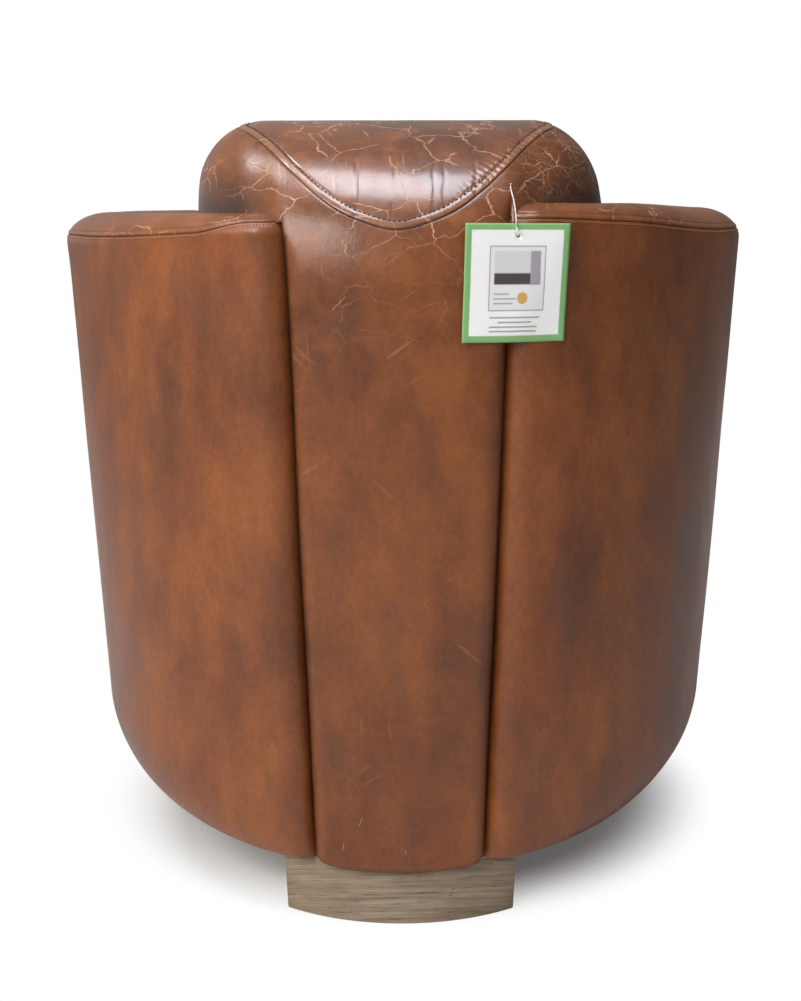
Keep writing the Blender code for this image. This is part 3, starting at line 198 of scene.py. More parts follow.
def seam_tree(line):
    found = kdtree.KDTree(len(line))
    for k, point in enumerate(line):
        found.insert(point, k)
    found.balance()
    return found


def cut_hide(name, across, along, place, look, inside, relief=None, drop=None, rub_and_shade=None, age=0.0):
    """Lays a grid of across x along cells: place(u, v) gives each point, drop(u, v) says which cells are cut away,
    relief(point, u, v) lifts the hide in metres, the function after drop, of (point, u, v), says how far it is rubbed
    pale above 0 or darkened below 0 as painted shade in seam grooves and crevices, and age, from 0 to 2, how
    burnished and crazed it is."""
    bm = bmesh.new()
    bmesh.ops.create_grid(bm, x_segments=across, y_segments=along, size=0.5)
    ways = bm.verts.layers.float_vector.new("spot")
    wear = bm.verts.layers.float.new("wear")
    aged = bm.verts.layers.float.new("aged")
    flat = bm.loops.layers.uv.new("cut")
    if drop:
        gone = []
        for face in bm.faces:
            middle = face.calc_center_median()
            if drop(middle.x + 0.5, middle.y + 0.5):
                gone.append(face)
        bmesh.ops.delete(bm, geom=gone, context="FACES")
    for face in bm.faces:
        for loop in face.loops:
            loop[flat].uv = (loop.vert.co.x + 0.5, loop.vert.co.y + 0.5)
    for v in bm.verts:
        s, t = v.co.x + 0.5, v.co.y + 0.5
        v[ways] = (s, t, 0)
        v.co = place(s, t)
    bmesh.ops.remove_doubles(bm, verts=bm.verts, dist=0.05 * MM)
    bmesh.ops.dissolve_degenerate(bm, dist=0.02 * MM, edges=bm.edges)
    bm.normal_update()
    centre = Vector(inside)
    facing = sum(f.normal.dot(f.calc_center_median() - centre) * f.calc_area() for f in bm.faces)
    if facing < 0:
        bmesh.ops.reverse_faces(bm, faces=bm.faces)
        bm.normal_update()
    moves = []
    for v in bm.verts:
        s, t, _ = v[ways]
        lift = relief(v.co, s, t) if relief else 0
        moves.append((v, v.co + v.normal * lift))
        v[wear] = rub_and_shade(v.co, s, t) if rub_and_shade else 0.0
        v[aged] = age(v.co, s, t) if callable(age) else age
    for v, co in moves:
        v.co = co
    bm.verts.layers.float_vector.remove(ways)
    bm.normal_update()
    return object_from(name, bm, look, HIDE_THICK)


def new_look(name):
    """A material with its node adder, its shader and the place in the chair's own metres."""
    look = bpy.data.materials.new(name)
    look.use_nodes = True
    put = functools.partial(add, look.node_tree)
    return look, put, look.node_tree.nodes["Principled BSDF"].inputs, put("TexCoord", out="Object")


def connect(look, **outputs):
    for name, output in outputs.items():
        shader = look.node_tree.nodes["Principled BSDF"]
        look.node_tree.links.new(output, shader.inputs[name.replace("_", " ")])


def pattern(put, kind, where, size, turn=(0, 0, 0), shift=0.0, inputs=None, **settings):
    """A texture whose cells are this many mm long, turned and shifted."""
    place = {"Vector": where, "Location": (shift,) * 3, "Rotation": turn, "Scale": [s * MM for s in size]}
    laid = put("Mapping", place, vector_type="TEXTURE")
    return put(kind, {"Vector": laid, "Scale": 1.0, **(inputs or {})}, **settings)


# Cigar leather: pull-up cowhide, drum dyed, waxed and hand rubbed, so it is cognac where it is stretched and
# dark where wax has gathered. Older parts are burnished and crazed with pale creases that never take wax back.
def cigar_leather(name, coat, coat_rough):
    look, put, shader, where = new_look(name)

    def speckle(size, detail=2.0, rough=0.55, turn=0.0, shift=0.0):
        inputs = {"Detail": detail, "Roughness": rough}
        return pattern(put, "TexNoise", where, size, (0, turn, 0), shift, inputs)

    aged = put("Attribute", out="Fac", attribute_name="aged", attribute_type="GEOMETRY")
    old = put("Math MINIMUM", aged, 1.0)
    crazed = put("Math MAXIMUM", put("Math SUBTRACT", aged, 1.0), 0.0)
    # Dye: broad clouds a hand wide, drawn out along the height, under smaller ones and a fine mottle.
    clouds = speckle((120, 120, 230), 2)
    rubs = speckle((34, 34, 62), 3, 0.6, 0.0, 0.3)
    mottle = speckle((5, 5, 7), 2, 0.6, 0.0, 0.7)
    small = put("Math MULTIPLY_ADD", rubs, 0.34, put("Math MULTIPLY", mottle, 0.20))
    mixed = put("Math MULTIPLY_ADD", clouds, 0.46, small)
    colour = put("ValToRGB", mixed, stops=((0.36, "#663514"), (0.64, "#9c5825"), (0.5, "#83461c")))
    # Wax gathers in dull smoky patches, darker where the hide is old.
    smoke = put("MapRange", speckle((62, 62, 150), 3, 0.6, 0.15, 0.9), 0.50, 0.70, **SOFTLY)
    smoke = put("Math MULTIPLY", smoke, put("Math MULTIPLY_ADD", old, 0.10, 0.33))
    amber = put("MapRange", speckle((40, 40, 24), 3, 0.6, 0.0, 1.9), 0.46, 0.74, **SOFTLY)
    amber = put("Math MULTIPLY", amber, put("Math MULTIPLY", old, 0.60))
    # Creases: borders of cells a few centimetres wide, a little bent, most of them whole.
    bent = put("TexNoise", {"Vector": where, "Scale": 1 / (26 * MM), "Detail": 4.0}, out="Color")
    moved = put("VectorMath ADD", where, put("VectorMath SCALE", {0: bent, "Scale": 24 * MM}))
    edges = {"feature": "DISTANCE_TO_EDGE"}
    long_cells = pattern(put, "TexVoronoi", moved, (58, 58, 30), (0, 0.1, 0), **edges)
    short_cells = pattern(put, "TexVoronoi", moved, (10, 10, 8), shift=0.5, **edges)
    whole = put("MapRange", speckle((55, 55, 40), 1, 0.5, 0.0, 3.3), 0.40, 0.56, **SOFTLY)
    whole = put("Math MULTIPLY", whole, put("MapRange", old, 0.35, 0.95, 0.0, 2.0, **SOFTLY))
    creases = put("Math MULTIPLY", put("MapRange", long_cells, 0.0, 0.017, 1.0, 0.0, **SOFTLY), whole)
    patch = put("MapRange", speckle((30, 30, 30), 2, 0.5, 0.0, 4.9), 0.50, 0.62, **SOFTLY)
    patch = put("Math MULTIPLY", crazed, put("Math ADD", patch, 0.4))
    net = put("Math MULTIPLY", put("MapRange", short_cells, 0.0, 0.055, 1.0, 0.0, **SOFTLY), patch)
    web = put("Math MAXIMUM", creases, net)
    # Scratches: pale hair lines in three directions, drawn 1.2 mm wide so that they show.
    strokes = 0.0
    for turn, long, shift in ((0.85, 62, 0.0), (-0.95, 48, 1.0), (0.12, 70, 2.0)):
        stroke = put("MapRange", speckle((4.2, 40, long), 0, 0.0, turn, shift), 0.76, 0.82, **SOFTLY)
        strokes = put("Math MAXIMUM", strokes, stroke)
    few = put("MapRange", speckle((60, 60, 60), 1, 0.5, 0.0, 6.1), 0.47, 0.62, **SOFTLY)
    few = put("Math MULTIPLY", few, put("Math MULTIPLY", old, 0.5))
    # Handling: edges are rubbed paler, and seam grooves, crevices and tucked edges are darkened as painted shade.
    worn_or_shaded = put("Attribute", out="Fac", attribute_name="wear", attribute_type="GEOMETRY")
    pale = put("Math MULTIPLY", put("MapRange", worn_or_shaded, 0.0, 1.0, **SOFTLY), 0.6)
    # Each layer lies over those before it: wax, age, amber, creases, scratches, rubbed edges and painted shade.
    for amount, code in (
        (smoke, "#523628"),
        (put("Math MULTIPLY", old, 0.42), "#4a2917"),
        (amber, "#a05f2b"),
        (put("Math MULTIPLY", web, 0.60), "#bb8a69"),
        (put("Math MULTIPLY", strokes, few), "#c8966c"),
        (pale, "#bb8a6a"),
        # Painted shade: below 0 the attribute darkens the hide toward near black in seam grooves, crevices and tucked
        # edges.
        (put("MapRange", worn_or_shaded, 0.0, -1.0, **SOFTLY), "#27130b"),
    ):
        colour = put("Mix", {0: amount, 6: colour, 7: linear(code)}, **COLOURS)
    # Polish: waxed and burnished, duller in the mottle and along the creases.
    rough = put("Math MULTIPLY_ADD", old, -0.13, put("MapRange", rubs, 0.35, 0.65, 0.37, 0.47, **SOFTLY))
    rough = put("Math MULTIPLY_ADD", web, 0.12, rough)
    # Grain: pebbling of about 1 mm, drawn at 2 mm so that it shows, over soft wrinkles.
    pebbles = put("TexVoronoi", {"Vector": where, "Scale": 1 / (2.1 * MM)}, feature="F1")
    fold = put("Math MULTIPLY_ADD", web, -0.45, speckle((11, 11, 17), 3, 0.6, 0.0, 8.0))
    soft = put("Bump", {"Height": fold, "Strength": 0.30, "Distance": 1.0 * MM})
    skin = put("Bump", {"Height": pebbles, "Strength": 0.14, "Distance": 0.3 * MM, "Normal": soft})
    connect(look, Base_Color=colour, Roughness=rough, Normal=skin)
    shader["IOR"].default_value = 1.5
    shader["Coat Weight"].default_value = coat
    shader["Coat Roughness"].default_value = coat_rough
    shader["Sheen Weight"].default_value = 0.06
    shader["Sheen Roughness"].default_value = 0.45
    shader["Sheen Tint"].default_value = linear("#dccabd")
    return look


hide_look = cigar_leather("cigar leather, waxed cowhide", 0.20, 0.28)
polished_look = cigar_leather("cigar leather, polished", 0.14, 0.30)
burnished_look = cigar_leather("cigar leather, burnished", 0.72, 0.17)

# Thread: bonded polyester, 0.9 mm, wax brown, or rubbed pale on the arms. Each stitch is one short swelling laid
# in the groove of its seam.
STITCH_PITCH, STITCH_LONG, STITCH_WIDE = 5.2 * MM, 3.6 * MM, 1.1 * MM


def bonded_thread(name, dark, pale):
    look, put, shader, where = new_look(name)
    ply = put("TexNoise", {"Vector": where, "Scale": 1 / (0.7 * MM), "Detail": 2.0})
    twist = put("MapRange", ply, 0.35, 0.65)
    tint = put("Mix", {0: twist, 6: linear(dark), 7: linear(pale)}, **COLOURS)
    strand = put("Bump", {"Height": ply, "Strength": 0.5, "Distance": 0.15 * MM})
    connect(look, Base_Color=tint, Normal=strand)
    shader["Roughness"].default_value = 0.5
    return look


brown_thread = bonded_thread("bonded thread, wax brown", "#22130b", "#4b2d1b")
pale_thread = bonded_thread("bonded thread, rubbed pale", "#7b4d2f", "#a87650")


def stepped(line, pitch):
    """Points and directions at even steps along a line."""
    found, carried = [], 0.0
    for a, b in zip(line, line[1:]):
        along = b - a
        length = along.length
        while length > 0 and carried < length:
            found.append((a + along * (carried / length), along / length))
            carried += pitch
        carried -= length
    return found


def stitch(name, lines, hide, look, pitch=STITCH_PITCH, long=STITCH_LONG, sink=0.25 * MM, body="chair"):
    """Sews rows of stitches on the face of a hide, along lines near it."""
    around = bmesh.new()
    around.from_mesh(hide.data)
    face = bvhtree.BVHTree.FromBMesh(around)
    around.free()
    one = bmesh.new()
    bmesh.ops.create_uvsphere(one, u_segments=6, v_segments=5, radius=1)
    shape, sides = [v.co.copy() for v in one.verts], [[v.index for v in f.verts] for f in one.faces]
    one.free()
    bm = bmesh.new()
    for spot, along in [step for line in lines for step in stepped(line, pitch)]:
        co, normal, _, _ = face.find_nearest(spot, 0.02)
        if co is None:
            continue
        side = along.cross(normal).normalized()
        turned = Matrix((side, normal.cross(side), normal)).transposed()
        middle = co + normal * (STITCH_WIDE / 2 - sink)
        size = Matrix.Diagonal((STITCH_WIDE / 2, long / 2, STITCH_WIDE / 2))
        points = [bm.verts.new(middle + turned @ size @ at) for at in shape]
        for corners in sides:
            bm.faces.new([points[k] for k in corners])
    piece = object_from(name, bm, look)
    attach(piece, body)
    return piece


# Arm outer hides: a horseshoe of two flared limbs, each with one hide from the keel to a seam under the crest.
# Every slice of the tub is a rounded shape, blunter at the back and squarer at the front.
BOTTOM_Z, KEEL_HALF, BOTTOM_HALF = 0.073, 0.124, 0.257
BILGE_REACH, BILGE_RISE, BILGE_END = 0.109, 0.118, math.radians(5.4)
SHOULDER_HALF, SHOULDER_Z = 0.397, 0.699
BOTTOM_BACK, BACK_TOP, FRONT_LENGTH, FRONT_DRAW = 0.391, 0.400, 0.494568, 0.020
BACK_POWERS, FRONT_POWER = (2.48, 2.01), 3.5
ARM_SLOPE, ARM_CREST_Z = 0.0655, 0.769
ARM_RADIUS, BACK_END_RADIUS, TIP_SHARE = 0.050, 0.030, 1.11
CREST_SHARE, FRONT_EDGE_SHARE, SWELL_SHARE = 0.71, 0.87, 0.38
ARM_ROLL_Z = ARM_CREST_Z - ARM_RADIUS * CREST_SHARE
CREVICE_LOW, CREVICE_HIGH, CREVICE_TOP_Z = 0.0918, 0.1127, 0.735
SIDE_START_Z = BOTTOM_Z + BILGE_RISE * (1 - math.sin(BILGE_END))
SEAM_TURNS = {1: (37, 8, 16), -1: (18, 15, 20)}
WELT, ARM_WELT, UNDER_ROW, ARM_STITCH = 9.0 * MM, 6.2 * MM, 3.4 * MM, (3.3 * MM, 2.0 * MM)
DECK_Z = 0.300


def side_half(z):
    start = BOTTOM_HALF + BILGE_REACH * math.cos(BILGE_END)
    return lerp(start, SHOULDER_HALF, (z - SIDE_START_Z) / (SHOULDER_Z - SIDE_START_Z))


def slice_numbers(z):
    t = min(max((z - BOTTOM_Z) / (SHOULDER_Z - BOTTOM_Z), 0.0), 1.0)
    return lerp(BOTTOM_BACK, BACK_TOP, t), FRONT_LENGTH - FRONT_DRAW * (1 - t), lerp(*BACK_POWERS, t)


def slice_point(half, z, turn):
    back, front, back_power = slice_numbers(z)
    s, c = math.sin(turn), math.cos(turn)
    length, power = (back, back_power) if c >= 0 else (front, FRONT_POWER)
    size = (abs(s) ** power + abs(c) ** power) ** (1 / power)
    x, y = half * s / size, length * c / size
    slopes = [math.copysign((abs(d) / full) ** (power - 1) / full, d) for d, full in ((x, half), (y, length))]
    return Vector((x, y)), Vector(slopes).normalized()


def turn_at(share, power):
    raised = share**power
    return math.atan((raised / (1 - raised)) ** (1 / power))


def crevice_half(z):
    t = (z - BOTTOM_Z) / (CREVICE_TOP_Z - BOTTOM_Z)
    return lerp(CREVICE_LOW, CREVICE_HIGH, min(max(t, 0.0), 1.0))


def arm_radius(half, spot):
    return min(half / SHOULDER_HALF, 1.0) * lerp(BACK_END_RADIUS, ARM_RADIUS, smooth(spot / SWELL_SHARE))


def arm_arc(half, z, spot):
    start = turn_at((crevice_half(z) + arm_radius(half, 0) * TIP_SHARE) / half, slice_numbers(z)[2])
    end = math.pi - turn_at(FRONT_EDGE_SHARE, FRONT_POWER)
    return slice_point(half, z, lerp(start, end, spot))


def seam_turn(place, side):
    """The seam's roll angle: low round the side, it climbs the crown toward the crevice, most on the left."""
    back, hip, front = SEAM_TURNS[side]
    level = lerp(hip, front, smooth((place - 0.10) / 0.30))
    return math.radians(lerp(back, level, smooth(place / 0.09)))


def arm_point(column, row, side=1):
    """A point of the left arm. A column is ('outer' or 'inner', 0..1) or ('front' or 'back', angle); a row is
    ('flat', 0..1), ('bilge', angle), ('side', 0..1), ('roll', angle), or ('skirt' or 'crown', 0..1) below or
    above the seam."""
    where, spot = column
    kind, value = row
    place = spot if where in ("outer", "inner") else (1 if where == "front" else 0)
    inset = 0
    if kind == "skirt":
        kind, value = "roll", value * seam_turn(place, side)
    elif kind == "crown":
        kind, value = "roll", lerp(seam_turn(place, side), math.pi / 2, value)
    if kind == "flat":
        half, z = lerp(KEEL_HALF, BOTTOM_HALF, value), BOTTOM_Z
    elif kind == "bilge":
        half = BOTTOM_HALF + BILGE_REACH * math.sin(value)
        z = BOTTOM_Z + BILGE_RISE * (1 - math.cos(value))
    else:
        high = arm_radius(SHOULDER_HALF, place) * CREST_SHARE
        z = lerp(SIDE_START_Z, ARM_CREST_Z - high, value if kind == "side" else 1)
        half = side_half(z)
        if kind == "roll":
            z += high * math.sin(value)
            inset = 1 - math.cos(value)
    point, out = arm_arc(half, z, place)
    radius = arm_radius(half, place)
    if where in ("outer", "inner"):
        point = point - out * (radius * (inset if where == "outer" else 2 - inset))
    else:
        sign = 1 if where == "front" else -1
        along = Vector((out.y, -out.x)) * sign
        swing = sign * out * math.cos(spot) + along * math.sin(spot)
        point = point - out * radius + radius * (1 - inset) * swing
    rise = max((z - SIDE_START_Z) / (ARM_CREST_Z - SIDE_START_Z), 0.0)
    return Vector((point.x, point.y, z - rise * ARM_SLOPE * (BACK_TOP - point.y)))


def by_table(table, t):
    """The key and value at t along a table of (t, key, low, high) stretches."""
    ends = [row[0] for row in table[1:]] + [1.0]
    k = next((k for k, end in enumerate(ends) if t <= end), len(table) - 1)
    start, key, low, high = table[k]
    return key, lerp(low, high, (t - start) / (ends[k] - start))


BILGE_FAR = math.pi / 2 - BILGE_END
OUTER_COLUMNS = ((0, "back", 0.10 * math.pi, math.pi), (0.085, "outer", 0, 1), (0.87, "front", 0, math.pi))
OUTER_ROWS = (
    (0, "flat", 0, 1),
    (0.12, "bilge", 0, BILGE_FAR),
    (0.32, "side", 0, 0.965),
    (0.90, "side", 0.965, 1),
    (0.94, "skirt", 0, 1),
)
RIGHT_LIFT = (9 * MM, 3 * MM)


def mirrored(point, side):
    """The point on either arm; the right arm's stuffing stands a little higher toward its crown."""
    most = lerp(*RIGHT_LIFT, smooth((point.x - 0.23) / 0.13))
    lift = most * smooth((point.z - 0.58) / 0.14) if side < 0 else 0
    return Vector((point.x * side, point.y, point.z + lift))


def arm_seam(side, steps=420, gap=0.0):
    """The seam round the arm, from the crevice round the outside to the nose's inner edge, moved up by a gap."""
    line = []
    for k in range(steps + 1):
        column = by_table(OUTER_COLUMNS, k / steps)
        place = column[1] if column[0] == "outer" else (1 if column[0] == "front" else 0)
        turn = seam_turn(place, side) + gap / (arm_radius(SHOULDER_HALF, place) * 0.78)
        line.append(mirrored(arm_point(column, ("roll", turn)), side))
    return line


def dents(co, seed):
    """The slack of a hide that has been sat in for years: broad hollows and shallow ripples."""
    broad = hills((co.x, co.y, co.z * 0.7), 0.21, seed) * 1.6 * MM
    ripple = hills((co.x, co.y, co.z * 0.5), 0.062, seed + 5) * 0.45 * MM
    return broad + ripple


def build_arm_outer(side, tag):
    near = seam_tree(arm_seam(side))

    def place(s, t):
        return mirrored(arm_point(by_table(OUTER_COLUMNS, s), by_table(OUTER_ROWS, t), side), side)

    def relief(co, s, t):
        d = near.find(co)[2]
        quiet = smooth(d / 0.05)
        keel = smooth((co.z - BOTTOM_Z) / 0.03)
        return dents(co, 3.1 if side > 0 else 8.4) * quiet * keel - 0.4 * MM * (1 - smooth(d / (3.0 * MM)))

    def rub_and_shade(co, s, t):
        # Painted shade: darker along the seam's groove and at the inner edge by the crevice; elsewhere near the seam
        # rubbed a little paler.
        d = near.find(co)[2]
        line = -0.42 * (1 - smooth(d / (1.5 * MM)))
        inner = -0.8 * (1 - smooth((s - 0.02) / 0.028))
        return max(min(line, inner), -1.0) if min(line, inner) < -0.02 else 0.10 * (1 - smooth(d / (14 * MM)))

    middle = (side * 0.1, 0, 0.45)
    piece = cut_hide("arm_outer_hide_" + tag, 210, 150, place, hide_look, middle, relief, None, rub_and_shade, 0.05)
    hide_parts("arm_outer_leather_" + tag)
    stitch("arm_understitch_" + tag, [arm_seam(side, 420, -UNDER_ROW)], piece, pale_thread, *ARM_STITCH)
    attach(piece, "chair")
    return piece


for side, tag in ((1, "left"), (-1, "right")):
    build_arm_outer(side, tag)

# Arm tops: a second hide over the crest and down the inside, its edge turned under along the seam to a raised
# welt 9 mm wide that is topstitched through.
WELT_HIGH = 0.6 * MM
TOP_COLUMNS = ((0, "back", 0, math.pi), (0.055, "outer", 0, 1), (0.47, "front", 0, math.pi), (0.55, "inner", 1, 0))
TOP_ROWS = (
    (0, "side", (DECK_Z - SIDE_START_Z) / (ARM_ROLL_Z - SIDE_START_Z), 1),
    (0.52, "skirt", 0, 1),
    (0.60, "crown", 0, 0.30),
    (0.78, "crown", 0.30, 1),
)
TOP_SEAM = 0.60


def welt_height(d, wide=WELT):
    """The folded edge: steep from the seam, level across, and drawn down by the topstitching."""
    rise = smooth(d / (1.8 * MM)) * (1 - smooth((d - wide + 2.2 * MM) / (2.4 * MM)))
    return WELT_HIGH * rise - 0.45 * MM * bump(d - wide, 1.1 * MM)


def build_arm_top(side, tag):
    near = seam_tree(arm_seam(side, 900))

    def age(co, s, t):
        """The crown of the arm by the back is burnished by hands."""
        return 0.45 + 0.3 * smooth((co.z - 0.70) / 0.03) * smooth((co.y - 0.18) / 0.12)

    def place(s, t):
        return mirrored(arm_point(by_table(TOP_COLUMNS, s), by_table(TOP_ROWS, t), side), side)

    def drop(s, t):
        return t < TOP_SEAM and by_table(TOP_COLUMNS, s)[0] != "inner"

    def relief(co, s, t):
        d = near.find(co)[2]
        quiet = smooth((d - ARM_WELT) / 0.03)
        wave = math.sin(co.x * 700 + co.y * 640 + 2 * hills(co, 0.03, 2))
        pucker = wave * 0.16 * MM * (1 - smooth((d - WELT) / 0.012)) * smooth(d / 0.002)
        slack = dents(co, 13.0 + side) * 0.4 * quiet * smooth((co.z - DECK_Z + 0.02) / 0.03)
        return welt_height(d, ARM_WELT) + pucker + slack

    def rub_and_shade(co, s, t):
        # Rubbed paler along the welt's ridge; painted shade darkens the seam's groove and the topstitch groove.
        d = near.find(co)[2]
        crease_shade = 1 - smooth(d / (1.3 * MM))
        ridge = bump(d - 3.2 * MM, 2.2 * MM)
        stitch_groove_shade = bump(d - ARM_WELT, 0.9 * MM)
        return 0.25 * ridge - 0.42 * crease_shade - 0.30 * stitch_groove_shade

    middle = (side * 0.33, 0, 0.6)
    piece = cut_hide("arm_top_hide_" + tag, 330, 96, place, polished_look, middle, relief, drop, rub_and_shade, age)
    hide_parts("arm_top_leather_" + tag, "arm_padding_" + tag)
    stitch("arm_topstitch_" + tag, [arm_seam(side, 420, ARM_WELT)], piece, pale_thread, *ARM_STITCH)
    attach(piece, "chair")
    return piece


for side, tag in ((1, "left"), (-1, "right")):
    build_arm_top(side, tag)

# Back panel: the middle hide runs from the keel up between the arms and spreads into a lobe on either side under
# the headrest. A second hide is welted to it along a U-shaped seam.
PANEL_EDGE, PANEL_HANG, CREVICE_GAP = 0.016, 0.008, 0.0006
HOOD_HALF, HOOD_END_RADIUS = 0.2135, 0.073
HOOD_TOP_Z, HOOD_SPRING_Z = 0.854, 0.693
HOOD_CENTRE_Y, HOOD_FRONT_Y, HOOD_FRONT_Z = 0.2314, 0.155, 0.645
HOOD_SHOULDER, SHOULDER_SPAN, RIGHT_SLUMP = 0.012, (0.108, 0.150), 0.55
BIB_HALF, BIB_LOW_Z, BIB_END = 0.168, 0.752, math.radians(80)
BIB_ACROSS = (0, 0.21, 0.36, 0.51, 0.66, 0.81, 0.93, 1)
BIB_RISE = (0, 0.085, 0.20, 0.385, 0.61, 0.83, 0.96, 1)
OVER_START = math.radians(100)


def rounding(distance, radius):
    reach = min(max(radius - distance, 0.0), radius)
    return radius - math.sqrt(radius * radius - reach * reach)


def half_at(z):
    if z >= SIDE_START_Z:
        return side_half(z)
    rise = min(max(1 - (z - BOTTOM_Z) / BILGE_RISE, 0.0), 1.0)
    return BOTTOM_HALF + BILGE_REACH * math.sqrt(1 - rise * rise)


def panel_back(x, z):
    z = min(z, SHOULDER_Z)
    back, _, power = slice_numbers(z)
    half = half_at(max(z, BOTTOM_Z + BILGE_RISE / 2))
    return back * (1 - min(abs(x) / half, 1.0) ** power) ** (1 / power)


def hood_shoulder(x):
    return HOOD_SHOULDER * smooth((abs(x) - SHOULDER_SPAN[0]) / (SHOULDER_SPAN[1] - SHOULDER_SPAN[0]))


def hood_section(x):
    turned = rounding(HOOD_HALF - abs(x), HOOD_END_RADIUS)
    back = panel_back(x, SHOULDER_Z) - turned - hood_shoulder(x) - HOOD_CENTRE_Y
    return back, HOOD_CENTRE_Y - HOOD_FRONT_Y - turned, HOOD_TOP_Z - HOOD_SPRING_Z - turned


def hood_point(x, angle):
    back, front, rise = hood_section(x)
    reach = back if math.cos(angle) >= 0 else front
    z = HOOD_SPRING_Z + rise * math.sin(angle)
    slump = RIGHT_SLUMP * (0.775 - z) * smooth(-x / HOOD_HALF) if x < 0 else 0
    return Vector((x * (1 + slump), HOOD_CENTRE_Y + reach * math.cos(angle), z))


def back_point(x, z):
    if z <= HOOD_SPRING_Z:
        turned = rounding(HOOD_HALF - abs(x), HOOD_END_RADIUS)
        return Vector((x, panel_back(x, z) - turned - hood_shoulder(x), z))
    return hood_point(x, math.asin(min((z - HOOD_SPRING_Z) / hood_section(x)[2], 1.0)))


def hermite(x, xs, ys):
    """A smooth curve through the measured points of the U seam, level where it starts."""
    slopes = np.gradient(np.array(ys, float), np.array(xs, float))
    slopes[0] = 0.0
    k = min(max(int(np.searchsorted(xs, x)) - 1, 0), len(xs) - 2)
    w = xs[k + 1] - xs[k]
    t = (x - xs[k]) / w
    a, b = slopes[k] * w, slopes[k + 1] * w
    level = ys[k] * (1 + 2 * t) * (1 - t) ** 2 + ys[k + 1] * t * t * (3 - 2 * t)
    return level + a * t * (1 - t) ** 2 - b * t * t * (1 - t)


def bib_angle(x):
    if abs(x) >= BIB_HALF:
        return BIB_END
    top = math.sin(BIB_END) * hood_section(BIB_HALF)[2]
    share = float(hermite(abs(x) / BIB_HALF, BIB_ACROSS, BIB_RISE))
    z = BIB_LOW_Z - HOOD_SPRING_Z + share * (top + HOOD_SPRING_Z - BIB_LOW_Z)
    return math.asin(min(max(z / hood_section(x)[2], 0.0), 1.0))


def bib_line(gap=0.0, steps=360):
    """The welted seam from the headrest's front foot over the top, round the U and back, moved up by a gap."""
    across = [lerp(-BIB_HALF, BIB_HALF, k / steps) for k in range(steps + 1)]
    over = [lerp(BIB_END, math.pi, k / 160) for k in range(1, 161)]
    line = [hood_point(-BIB_HALF, a) for a in reversed(over)] + [hood_point(x, bib_angle(x)) for x in across]
    line += [hood_point(BIB_HALF, a) for a in over]
    if not gap:
        return line
    moved = []
    for a, b, c in zip(line[:-2], line[1:-1], line[2:]):
        along = (c - a).normalized()
        middle = Vector((b.x, HOOD_CENTRE_Y, HOOD_SPRING_Z))
        normal = (b - middle).normalized()
        side_way = normal.cross(along).normalized()
        toward = Vector((0, 0.2, 0.9)) - b
        if side_way.dot(toward) < 0:
            side_way = -side_way
        moved.append(b + side_way * gap)
    return moved


def arm_top_under(x):
    edge = CREVICE_HIGH + 0.5 * BACK_END_RADIUS
    drop = 0.45 * BACK_END_RADIUS * CREST_SHARE * min(max((edge - abs(x)) / (edge - CREVICE_HIGH), 0.0), 1.0)
    fall = ARM_SLOPE * (BACK_TOP - HOOD_CENTRE_Y - 0.85 * hood_section(x)[0])
    return ARM_CREST_Z - fall - drop


TUCK, PANEL_PART = 0.010, 0.62
PANEL_COLUMN, LOBE_COLUMN = 0.44, 0.90


def tee_x(s):
    """Signed place across: within 1 the panel, from 1 to 2 a lobe, past 2 the headrest's end."""
    c = (s - 0.5) * 2
    sign = 1 if c >= 0 else -1
    c = abs(c)
    if c <= PANEL_COLUMN:
        return sign, "panel", math.sin(c / PANEL_COLUMN * math.pi / 2)
    if c <= LOBE_COLUMN:
        return sign, "lobe", math.sin((c - PANEL_COLUMN) / (LOBE_COLUMN - PANEL_COLUMN) * math.pi / 2)
    return sign, "cap", (c - LOBE_COLUMN) / (1 - LOBE_COLUMN)


def cap_at(sign, angle, share):
    """A point of the headrest's end, a share of the way from its rim to the middle."""
    rim = hood_point(sign * HOOD_HALF, angle)
    back, front, rise = hood_section(HOOD_HALF)
    middle = Vector((sign * (HOOD_HALF + 0.003), HOOD_CENTRE_Y - front / 2, HOOD_SPRING_Z + rise / 2))
    return rim.lerp(middle, share * 0.98)


def edge_turned(x, z):
    """The panel's left edge opens out into the lobe as it leaves the crevice."""
    return 1 - smooth((z - 0.700) / 0.055) if x > 0 else 1.0


